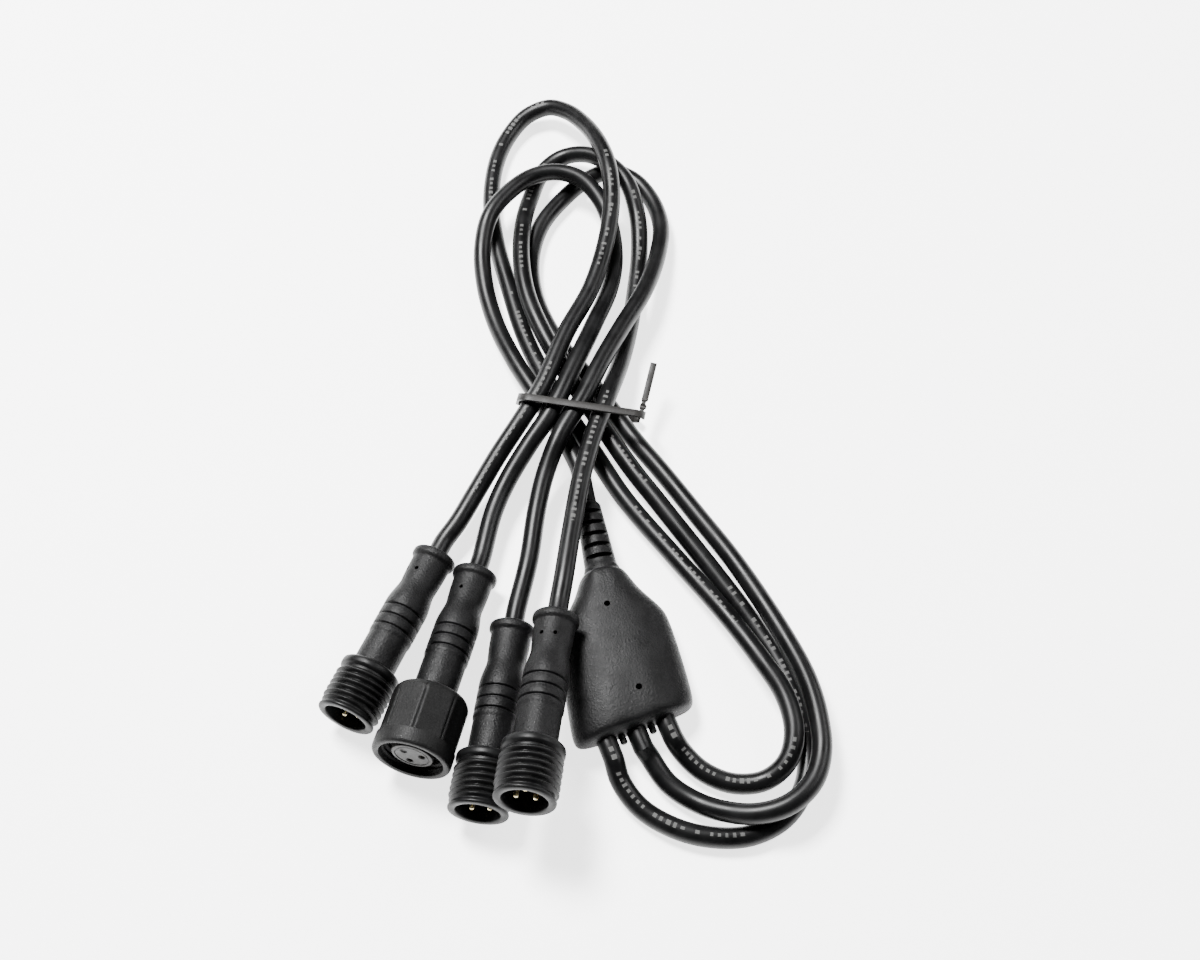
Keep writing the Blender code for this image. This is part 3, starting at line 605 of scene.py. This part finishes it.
def drawCord(cordName):
    line = cordLine(cordName)
    curve = bpy.data.curves.new("cordLine", "CURVE")
    curve.dimensions = "3D"
    curve.twist_mode = "Z_UP"
    curve.bevel_depth = cordPlan["diameter"] / 2
    curve.bevel_resolution = cordPlan["ringSteps"]
    spline = curve.splines.new("POLY")
    spline.points.add(len(line) - 1)
    for knot, place in zip(spline.points, line):
        knot.co = (*place, 1.0)
    draft = bpy.data.objects.new("cordLine", curve)
    scene.collection.objects.link(draft)
    ready = draft.evaluated_get(bpy.context.evaluated_depsgraph_get())
    mesh = bpy.data.meshes.new_from_object(ready)
    bpy.data.objects.remove(draft)
    bpy.data.curves.remove(curve)
    markCord(mesh, line, cordPlan["printed"][cordName])
    shape = bmesh.new()
    shape.from_mesh(mesh)
    bpy.data.meshes.remove(mesh)
    closeEnds(shape)
    piece = addPiece(f"jacket_{cordName}", shape, cableJacket,
                     [f"cable_{cordName}"])
    return piece, line


cords = {cordName: drawCord(cordName) for cordName in cordPlan["lengths"]}
print("cables drawn")

# Grips, the same on all four connectors

gripPlan = {
    "sides": 72,
    "beadRadius": 4.1, "beadLength": 2.1,
    "oval": 0.12, "ovalEnd": 9.5, "ovalFade": 4.0,   # the neck is this much wider than high
    "neckRadius": 3.6, "neckEnd": 7.5,
    "barrelStart": 13.6, "bandRadius": 4.42, "barrelRadius": 4.22,
    "grooves": (14.88, 17.18, 19.48), "grooveWidth": 0.52, "grooveDepth": 0.42,
    "holeRadius": 0.42, "holeStation": 5.7, "holeSpread": 44.0, "holeDepth": 1.4,
    "holeTurns": {"male_a": -42.0, "male_b": 180.0, "male_c": -12.0, "female": -42.0},
    "soften": 0.1, "plugFront": 27.7, "socketFront": 30.7,
}


def gripProfile(front):
    plan = gripPlan
    bead, neck, band = plan["beadRadius"], plan["neckRadius"], plan["bandRadius"]
    profile = [
        (0, 0.15), (2.3, 0.15), (2.5, 0), (bead - 0.7, 0), (bead - 0.3, 0.12),
        (bead - 0.05, 0.45), (bead, 0.85), (bead, 1.25), (bead - 0.06, 1.6),
        (bead - 0.25, 1.9), (neck + 0.1, plan["beadLength"]),
        (neck, plan["beadLength"] + 0.25), (neck - 0.05, 5.0), (neck, plan["neckEnd"]),
    ]
    for step in range(1, 9):
        share = step / 8
        station = plan["neckEnd"] + (plan["barrelStart"] - plan["neckEnd"]) * share
        profile.append((neck + (band - neck) * eased(share), station))
    half = plan["grooveWidth"] / 2
    for station in plan["grooves"]:
        floor = band - plan["grooveDepth"]
        profile += [(band, station - half), (floor, station - half * 0.6),
                    (floor, station + half * 0.6), (band, station + half)]
    profile += [(band - 0.02, 20.6), (plan["barrelRadius"], 21.2),
                (plan["barrelRadius"], front - 0.2), (plan["barrelRadius"] - 0.2, front),
                (0, front)]
    return profile


def buildGrip(connector, front):
    plan = gripPlan
    shape = turned(gripProfile(front), plan["sides"], soften=plan["soften"])
    for vertex in shape.verts:
        share = limited((plan["ovalEnd"] - vertex.co.z) / plan["ovalFade"])
        vertex.co.x *= 1 + plan["oval"] * eased(share)
    holes = []
    for side in (-1, 1):
        hole = rod(plan["holeRadius"], plan["neckRadius"] - plan["holeDepth"],
                   plan["neckRadius"] + 2)
        angle = math.radians(plan["holeTurns"][connector] + side * plan["holeSpread"] / 2)
        turn = Matrix.Rotation(-angle, 3, "Z") @ Matrix.Rotation(-math.pi / 2, 3, "X")
        bmesh.ops.rotate(hole, cent=(0, 0, 0), matrix=turn, verts=hole.verts)
        bmesh.ops.translate(hole, vec=(0, 0, plan["holeStation"]), verts=hole.verts)
        holes.append(("DIFFERENCE", hole))
    shape = carved(shape, holes)
    return addPiece(f"grip_{connector}", placed(shape, poses[connector]), mouldedBlack,
                    [f"{connector}_grip"])


# Threaded mouths of the three plugs

shellPlan = {
    "sides": 96, "collar": 28.0, "major": 6.0, "depth": 0.6, "pitch": 1.25,
    "threadStart": 30.1, "threadEnd": 37.9, "row": 0.11, "front": 39.0,
    "rim": 5.78, "mouth": 4.25, "mouthDepth": 7.5,
}
contactPlan = {
    "count": 3, "circle": 2.05,
    "turns": {"male_a": 0.0, "male_b": 105.0, "male_c": 90.0, "female": 15.0},
    "pinRadius": 0.5, "pinRear": 25.4, "pinFront": 37.9, "slotSize": (0.16, 2.0, 2.4),
    "slotTurns": (35.0, 85.0, 135.0), "holeRadius": 0.62, "holeDepth": 5.0,
}


def contactSpots(connector):
    for index in range(contactPlan["count"]):
        angle = (math.radians(contactPlan["turns"][connector])
                 + index * math.tau / contactPlan["count"])
        yield (contactPlan["circle"] * math.cos(angle), contactPlan["circle"] * math.sin(angle))


def stations(start, end, row):
    count = round((end - start) / row)
    return [start + (end - start) * index / count for index in range(count + 1)]


def cutThread(shape, start, end, pitch, root, depth):
    # winds a rounded ridge round the plain wall at radius root; a minus depth goes inwards
    crest = shape.verts.layers.float.new("crest")
    runOut = 0.6 * pitch
    for vertex in shape.verts:
        flat = vertex.co.xy
        if abs(flat.length - root) > 0.001 or not start <= vertex.co.z <= end:
            continue
        turn = (vertex.co.z - start) / pitch - math.atan2(flat.y, flat.x) / math.tau
        wave = 0.5 - 0.5 * math.cos(math.tau * turn)
        fade = limited(min(vertex.co.z - start, end - vertex.co.z) / runOut)
        rise = wave ** 0.8 * fade
        vertex[crest] = rise ** 4
        vertex.co.xy = flat * (1 + depth * rise / root)


def buildShell(connector):
    plan = shellPlan
    major, collar, front = plan["major"], plan["collar"], plan["front"]
    root = major - plan["depth"]
    rows = stations(plan["threadStart"], plan["threadEnd"], plan["row"])
    profile = [
        (0, collar), (5.2, collar), (major - 0.35, collar + 0.1), (major - 0.08, collar + 0.35),
        (major, collar + 0.7), (major, collar + 1.35), (major - 0.1, collar + 1.65),
        (root, collar + 2.0), *[(root, station) for station in rows],
        (root + 0.08, front - 0.95), (plan["rim"] - 0.12, front - 0.72),
        (plan["rim"], front - 0.45), (plan["rim"] - 0.05, front - 0.18),
        (plan["rim"] - 0.22, front), (plan["mouth"] + 0.22, front),
        (plan["mouth"] + 0.05, front - 0.12), (plan["mouth"], front - 0.35),
        (plan["mouth"], front - plan["mouthDepth"]), (0, front - plan["mouthDepth"]),
    ]
    shape = turned(profile, plan["sides"])
    cutThread(shape, plan["threadStart"], plan["threadEnd"], plan["pitch"], root, plan["depth"])
    return addPiece(f"threaded_mouth_{connector}", placed(shape, poses[connector]),
                    threadBlack, [f"{connector}_shell"], sharpness=50)


def buildPins(connector):
    plan = contactPlan
    radius, front = plan["pinRadius"], plan["pinFront"]
    pins = []
    for index, (x, y) in enumerate(contactSpots(connector)):
        profile = [(0, plan["pinRear"]), (radius, plan["pinRear"]), (radius, front - 0.45),
                   (radius * 0.94, front - 0.25), (radius * 0.75, front - 0.1),
                   (radius * 0.45, front), (0, front)]
        shape = turned(profile, 28)
        slot = block(plan["slotSize"], (0, 0, front))
        turn = Matrix.Rotation(math.radians(plan["slotTurns"][index]), 3, "Z")
        bmesh.ops.rotate(slot, cent=(0, 0, 0), matrix=turn, verts=slot.verts)
        shape = carved(shape, [("DIFFERENCE", slot)])
        bmesh.ops.translate(shape, vec=(x, y, 0), verts=shape.verts)
        pins.append(addPiece(f"pin_{connector}_{index + 1}", placed(shape, poses[connector]),
                             contactGold, [f"{connector}_pin_{index + 1}"]))
    return pins


plugPieces = {}
for letter in "abc":
    connector = f"male_{letter}"
    plugPieces[f"outlet_{letter}"] = [buildGrip(connector, gripPlan["plugFront"]),
                                      buildShell(connector), *buildPins(connector)]
print("plugs built")

# Socket end: insert, seal and the loose coupling nut

nutPlan = {
    "sides": 192, "start": 28.7, "end": 42.5, "radius": 7.7, "panel": 7.12, "ridge": 7.56,
    "inside": 6.3,           # nothing nearer the axis than this is made flat
    "panelRise": 0.3, "panelFade": 2.2,   # the panels start here and are full this far on
    "panelEnd": 39.2, "panels": 8, "lineDepth": 0.22, "lineWidth": 0.045,
    "hole": 4.7, "bore": 6.2, "boreStart": 30.7, "threadStart": 34.6, "threadEnd": 41.4,
    "threadDepth": 0.45, "pitch": 1.25, "row": 0.14,
}
insertPlan = {
    "sides": 96, "start": 31.0, "flange": 5.3, "flangeEnd": 33.0, "radius": 4.05,
    "front": 41.7, "lip": 3.42,
}
sealPlan = {"middle": 4.8, "station": 33.75, "section": 0.45}


def buildNut():
    plan = nutPlan
    start, end, radius = plan["start"], plan["end"], plan["radius"]
    body = plan["ridge"]
    inner = [(plan["bore"], station)
             for station in stations(plan["threadStart"], plan["threadEnd"], plan["row"])]
    outer = [(body, station) for station in stations(start + 1.9, plan["panelEnd"], 0.8)]
    profile = [
        (plan["hole"], start + 0.15), (plan["hole"] + 0.15, start), (5.75, start),
        (6.35, start + 0.12), (6.85, start + 0.4), (7.2, start + 0.85),
        (7.42, start + 1.35), *outer,
        (body, plan["panelEnd"] + 0.05), (radius, plan["panelEnd"] + 0.22),
        (radius, end - 0.75), (radius - 0.07, end - 0.4), (radius - 0.25, end - 0.12),
        (radius - 0.5, end), (plan["bore"] + 0.4, end), (plan["bore"] + 0.12, end - 0.12),
        (plan["bore"] + 0.02, end - 0.4), *inner[::-1],
        (plan["bore"], plan["boreStart"]), (plan["hole"], plan["boreStart"]),
    ]
    shape = turned(profile, plan["sides"], closed=True)
    cutThread(shape, plan["threadStart"], plan["threadEnd"], plan["pitch"], plan["bore"],
              -plan["threadDepth"])
    sector = math.tau / plan["panels"]
    for vertex in shape.verts:
        flat = vertex.co.xy
        panelled = start + plan["panelRise"] < vertex.co.z < plan["panelEnd"] + 0.1
        if flat.length < plan["inside"] or not panelled:
            continue
        angle = math.atan2(flat.y, flat.x) % sector - sector / 2
        share = eased(limited((vertex.co.z - start - plan["panelRise"]) / plan["panelFade"]))
        faceted = min(body, plan["panel"] / math.cos(angle))
        line = max(0.0, 1 - (sector / 2 - abs(angle)) / plan["lineWidth"])
        target = faceted - plan["lineDepth"] * line
        reach = flat.length + (min(target, flat.length) - flat.length) * share
        vertex.co.xy = flat * (reach / flat.length)
    return addPiece("coupling_nut_wall", placed(shape, poses["female"]), nutBlack,
                    ["coupling_nut"], body="nut", sharpness=42)


def buildInsert():
    plan = insertPlan
    front, radius, lip = plan["front"], plan["radius"], plan["lip"]
    profile = [
        (0, plan["start"]), (plan["flange"], plan["start"]), (plan["flange"], plan["flangeEnd"]),
        (radius, plan["flangeEnd"]), (radius, front - 0.25), (radius - 0.07, front - 0.07),
        (radius - 0.25, front), (lip, front), (lip - 0.06, front - 0.16),
        (lip - 0.22, front - 0.16), (lip - 0.3, front - 0.04), (0, front - 0.04),
    ]
    shape = turned(profile, plan["sides"])
    holes = []
    for place in contactSpots("female"):
        holes.append(("DIFFERENCE", rod(contactPlan["holeRadius"],
                                        front - contactPlan["holeDepth"], front + 1, place)))
        mouth = bmesh.new()
        bmesh.ops.create_cone(mouth, cap_ends=True, segments=24,
                              radius1=contactPlan["holeRadius"] * 0.9,
                              radius2=contactPlan["holeRadius"] + 0.3, depth=0.4)
        bmesh.ops.translate(mouth, vec=(*place, front - 0.1), verts=mouth.verts)
        holes.append(("DIFFERENCE", mouth))
    shape = carved(shape, holes)
    return addPiece("socket_insert", placed(shape, poses["female"]), insertGrey,
                    ["female_insert"])


def buildSeal():
    plan = sealPlan
    shape = bmesh.new()
    section = bmesh.ops.create_circle(shape, segments=16, radius=plan["section"])["verts"]
    bmesh.ops.rotate(shape, cent=(0, 0, 0), matrix=Matrix.Rotation(math.pi / 2, 3, "X"),
                     verts=section)
    bmesh.ops.translate(shape, vec=(plan["middle"], 0, plan["station"]), verts=section)
    bmesh.ops.spin(shape, geom=section + shape.edges[:], cent=(0, 0, 0), axis=(0, 0, 1),
                   angle=math.tau, steps=64, use_merge=True)
    bmesh.ops.remove_doubles(shape, verts=shape.verts, dist=0.0005)
    return addPiece("face_seal", placed(shape, poses["female"]), sealRubber,
                    ["o_ring"])


socketPieces = [buildGrip("female", gripPlan["socketFront"]), buildInsert(), buildSeal(),
                buildNut()]
print("socket end built")

# Splitter body: outline drawn up ring by ring, then its ribbed relief and pegs

splitterPlan = {
    "height": 10.5, "footCrease": 0.85, "levels": 3,
    "outline": [(3.8, 10.2), (5.2, 8.98), (6.4, 5.8), (9.2, 2.15), (10.7, -0.05),
                (11.5, -2.4), (12.7, -22.4), (11.5, -23.8)],
    "rings": [(0.00, 0.94, 0.8), (0.08, 0.99, 0.1), (0.44, 1.00, 0.0), (0.58, 0.95, 0.0),
              (0.75, 0.82, 0.0), (0.91, 0.60, 0.5), (1.00, 0.28, 1.6)],
    "middleY": -6.8, "halfY": 17.0, "shoulderY": -2.0, "outletY": -23.8,
    "coreHoles": [(-0.8, 1.1), (1.8, -17.0)], "coreHoleRadius": 0.62, "coreHoleDepth": 2.6,
    "reliefStart": 10.2, "reliefLength": 15.8, "reliefFront": 3.4, "reliefRear": 2.6,
    "slots": 5, "slotWidth": 1.05, "slotShares": (1.72, 2.2), "slotFloor": 0.52,
    "slotHeight": 4.0, "slotRounding": 0.18, "pegRadius": 0.7, "pegLength": 1.6, "pegSpread": 3.0,
}


def ringPlace(x, y, height, width, pull):
    plan = splitterPlan
    across = x * width
    length = plan["middleY"] + (y - plan["middleY"]) * (1 - pull / plan["halfY"])
    towardsEnd = max(0.0, (plan["shoulderY"] - y) / (plan["shoulderY"] - plan["outletY"]))
    skewed = length + across * math.tan(exitPlan["skew"]) * towardsEnd
    return Vector((across, skewed, height * plan["height"]))


def bodyShape():
    outline = splitterPlan["outline"]
    outline = outline + [(-x, y) for x, y in reversed(outline)]
    shape = bmesh.new()
    lower = [shape.verts.new(ringPlace(x, y, *splitterPlan["rings"][0])) for x, y in outline]
    top = bmesh.ops.contextual_create(shape, geom=lower)["faces"][0]
    for ring in splitterPlan["rings"][1:]:
        top = movedOn(shape, top, [ringPlace(x, y, *ring) for x, y in outline])
    closeEnds(shape)
    bmesh.ops.recalc_face_normals(shape, faces=shape.faces)
    return shape


def reliefShape():
    plan = splitterPlan
    length, front, rear = plan["reliefLength"], plan["reliefFront"], plan["reliefRear"]
    profile = [(0, -2.0), (front + 0.25, -2.0), (front + 0.25, 0.55), (front + 0.05, 0.9)]
    profile += [(front - (front - rear) * share / 10, length * share / 10)
                for share in range(1, 10)]
    profile += [(rear + 0.05, length - 0.6), (rear - 0.12, length - 0.2),
                (rear - 0.4, length), (0, length)]
    shape = turned(profile, 64)
    bmesh.ops.rotate(shape, cent=(0, 0, 0), matrix=Matrix.Rotation(-math.pi / 2, 3, "X"),
                     verts=shape.verts)
    bmesh.ops.translate(shape, vec=(0, plan["reliefStart"], exitPlan["middle"] / mm),
                        verts=shape.verts)
    return shape


def buildSplitter():
    plan = splitterPlan
    middle = exitPlan["middle"] / mm
    across, outward = outletFace()
    tools = [("UNION", reliefShape())]
    for side in (-1, 1):
        peg = turned([(0, -1.0), (plan["pegRadius"], -1.0),
                      (plan["pegRadius"], plan["pegLength"] - 0.2),
                      (plan["pegRadius"] - 0.2, plan["pegLength"]), (0, plan["pegLength"])], 24)
        turn = Vector((0, 0, 1)).rotation_difference(outward).to_matrix()
        bmesh.ops.rotate(peg, cent=(0, 0, 0), matrix=turn, verts=peg.verts)
        place = Vector((0, plan["outletY"], middle)) + across * side * plan["pegSpread"]
        bmesh.ops.translate(peg, vec=place, verts=peg.verts)
        tools.append(("UNION", peg))
    pitch = plan["reliefLength"] / (plan["slots"] + 1)
    for index in range(plan["slots"]):
        along = plan["reliefStart"] + pitch * (index + 1)
        narrowing = (plan["reliefFront"] - plan["reliefRear"]) * (index + 1) / (plan["slots"] + 1)
        reach = plan["reliefFront"] - narrowing
        wide = reach * plan["slotShares"][index % 2]
        for side in (-1, 1):
            height = middle + side * (reach * plan["slotFloor"] + plan["slotHeight"] / 2)
            slot = block((wide, plan["slotWidth"], plan["slotHeight"]), (0, along, height),
                         plan["slotRounding"])
            tools.append(("DIFFERENCE", slot))
    for place in plan["coreHoles"]:
        hole = rod(plan["coreHoleRadius"], plan["height"] - plan["coreHoleDepth"],
                   plan["height"] + 1, place)
        tools.append(("DIFFERENCE", hole))
    shell = asObject("draft", bodyShape())
    crease = shell.data.attributes.new("crease_edge", "FLOAT", "EDGE")
    for edge in shell.data.edges:
        ends = [shell.data.vertices[index].co for index in edge.vertices]
        if max(end.z for end in ends) < 0.01:
            crease.data[edge.index].value = plan["footCrease"]
    rounder = shell.modifiers.new("rounder", "SUBSURF")
    rounder.levels = plan["levels"]
    rounder.render_levels = plan["levels"]
    ready = shell.evaluated_get(bpy.context.evaluated_depsgraph_get())
    smooth = bmesh.new()
    smooth.from_mesh(ready.to_mesh())
    ready.to_mesh_clear()
    draft = shell.data
    bpy.data.objects.remove(shell)
    bpy.data.meshes.remove(draft)
    shape = carved(smooth, tools)
    return addPiece("splitter_body", placed(shape, Matrix.Scale(mm, 4)), mouldedBlack,
                    ["splitter_overmould"])


buildSplitter()
print("splitter built")

# Twist tie: one flat ribbon round the bundle, wrung at its ends, with a straight tail

tiePlan = {
    "left": (-9.9, 54.2), "right": (15.3, 44.5), "bottom": 0.4, "top": 12.4, "corner": 2.4,
    "lean": 0.54, "width": 1.6, "thickness": 0.55, "rise": (5.2, 11.2, 3.0),
    "cornerSteps": 7, "twistStart": 0.6, "twist": 3.6, "twistTurns": 1.0, "twistSteps": 24,
    "tailWidth": 1.4, "rounding": 0.12,
}


def tieStations():
    # (middle, width direction, width) along the ribbon, from its buried end to the tail's end
    plan = tiePlan
    left, right = Vector((*plan["left"], 0)), Vector((*plan["right"], 0))
    along = (right - left).normalized()
    across = Vector((-along.y, along.x, 0))
    span, corner = (right - left).length, plan["corner"]
    middle = (plan["top"] + plan["bottom"]) / 2
    places = []
    centres = [(span - corner, plan["bottom"] + corner, 0),
               (corner, plan["bottom"] + corner, -90),
               (corner, plan["top"] - corner, -180),
               (span - corner, plan["top"] - corner, -270)]
    for reach, height, start in centres:
        for step in range(plan["cornerSteps"] + 1):
            angle = math.radians(start - 90 * step / plan["cornerSteps"])
            places.append((reach + corner * math.cos(angle), height + corner * math.sin(angle)))
    ribbon = []
    for reach, height in places:
        point = left + along * reach
        ribbon.append((Vector((point.x, point.y + plan["lean"] * (middle - height), height)),
                       across, plan["width"]))
    foot = right - along * 0.2 + Vector((0, 0, middle))
    rise = Vector(plan["rise"])
    heading = rise.normalized()
    flat = along - heading * along.dot(heading)
    flat.normalize()
    for step in range(1, plan["twistSteps"] + 1):
        share = step / plan["twistSteps"]
        turn = Matrix.Rotation(share * plan["twistTurns"] * math.tau, 3, heading)
        place = foot + heading * (plan["twistStart"] + plan["twist"] * share)
        ribbon.append((place, turn @ flat, plan["tailWidth"]))
    for share in (0.5, 0.75, 1.0):
        ribbon.append((foot + rise * share, flat, plan["tailWidth"]))
    return ribbon


def buildTie():
    plan = tiePlan
    ribbon = tieStations()
    shape = bmesh.new()
    face = None
    for index, (place, sideways, width) in enumerate(ribbon):
        before = ribbon[max(index - 1, 0)][0]
        after = ribbon[min(index + 1, len(ribbon) - 1)][0]
        heading = (after - before).normalized()
        sideways = (sideways - heading * sideways.dot(heading)).normalized()
        outward = heading.cross(sideways)
        corners = [place + sideways * (width / 2 * a) + outward * (plan["thickness"] / 2 * b)
                   for a, b in ((-1, -1), (1, -1), (1, 1), (-1, 1))]
        if face is None:
            face = shape.faces.new([shape.verts.new(corner) for corner in corners])
            shape.faces.new([shape.verts.new(corner) for corner in corners][::-1])
            continue
        face = movedOn(shape, face, corners)
    bmesh.ops.remove_doubles(shape, verts=shape.verts, dist=0.0005)
    bmesh.ops.recalc_face_normals(shape, faces=shape.faces)
    longEdges = [edge for edge in shape.edges if len(edge.link_faces) == 2
                 and edge.calc_face_angle() > math.radians(60)]
    bmesh.ops.bevel(shape, geom=longEdges, offset=plan["rounding"], segments=2,
                    profile=0.5, affect="EDGES", material=-1, clamp_overlap=True)
    return addPiece("tie_ribbon", placed(shape, Matrix.Scale(mm, 4)), tiePlastic,
                    ["twist_tie"])


buildTie()
print("tie wound")

# Inner pieces keep their solids and get finishes of their own

keptFinishes = {
    "splitter_inner_mould": innerMould,
    "splice_1": crimpTin, "splice_2": crimpTin, "splice_3": crimpTin,
    "female_socket_1": contactGold, "female_socket_2": contactGold,
    "female_socket_3": contactGold,
}
for nodeName, material in keptFinishes.items():
    slots = frame["nodes"][nodeName].material_slots
    if not slots:
        frame["nodes"][nodeName].data.materials.append(material)
    for holder in slots:
        holder.material = material

for cordName, (piece, line) in cords.items():
    ends = plugPieces.get(cordName)
    if ends is None:
        ends = [*socketPieces, "female_socket_1", "female_socket_2", "female_socket_3"]
    exitFor(cordName)[0]

# Studio: pale floor, one broad lamp from the upper left, a soft fill

studioPlan = {
    "floorSize": 6.0, "floorShade": (0.95, 0.95, 0.95),
    "key": {"place": (-0.22, 0.40, 0.75), "size": 0.24, "power": 34.0},
    "fill": {"place": (0.60, 0.10, 0.55), "size": 0.30, "power": 4.0},
    "aim": (0.0, 0.04, 0.0),
    "sky": (1.0, 1.0, 1.0), "skyStrength": 0.05, "floorGlow": 2.6,
}


def setStudio(plan):
    shape = bmesh.new()
    bmesh.ops.create_grid(shape, x_segments=1, y_segments=1, size=plan["floorSize"] / 2)
    floor = asObject("studioFloor", shape)
    material, wire, place = startFinish("studioFloor", {"Roughness": 0.6})
    tone = wire.noise(place, 3.0, 2.0)
    pale = plan["floorShade"]
    tone.tint(pale, tuple(0.985 * part for part in pale)).feed("Base Color")
    shader = material.node_tree.nodes["Principled BSDF"]
    shader.inputs["Emission Color"].default_value = (1.0, 1.0, 1.0, 1.0)
    shader.inputs["Emission Strength"].default_value = plan["floorGlow"]
    floor.data.materials.append(material)
    for name in ("key", "fill"):
        lamp = plan[name]
        data = bpy.data.lights.new(name, "AREA")
        data.size = lamp["size"]
        data.energy = lamp["power"]
        light = bpy.data.objects.new(name, data)
        scene.collection.objects.link(light)
        light.location = lamp["place"]
        beam = Vector(plan["aim"]) - Vector(lamp["place"])
        light.rotation_euler = beam.to_track_quat("-Z", "Y").to_euler()
    world = bpy.data.worlds.new("studioSky")
    scene.world = world
    world.use_nodes = True
    sky = world.node_tree.nodes["Background"]
    sky.inputs["Color"].default_value = (*plan["sky"], 1.0)
    sky.inputs["Strength"].default_value = plan["skyStrength"]


setStudio(studioPlan)
print("studio set")
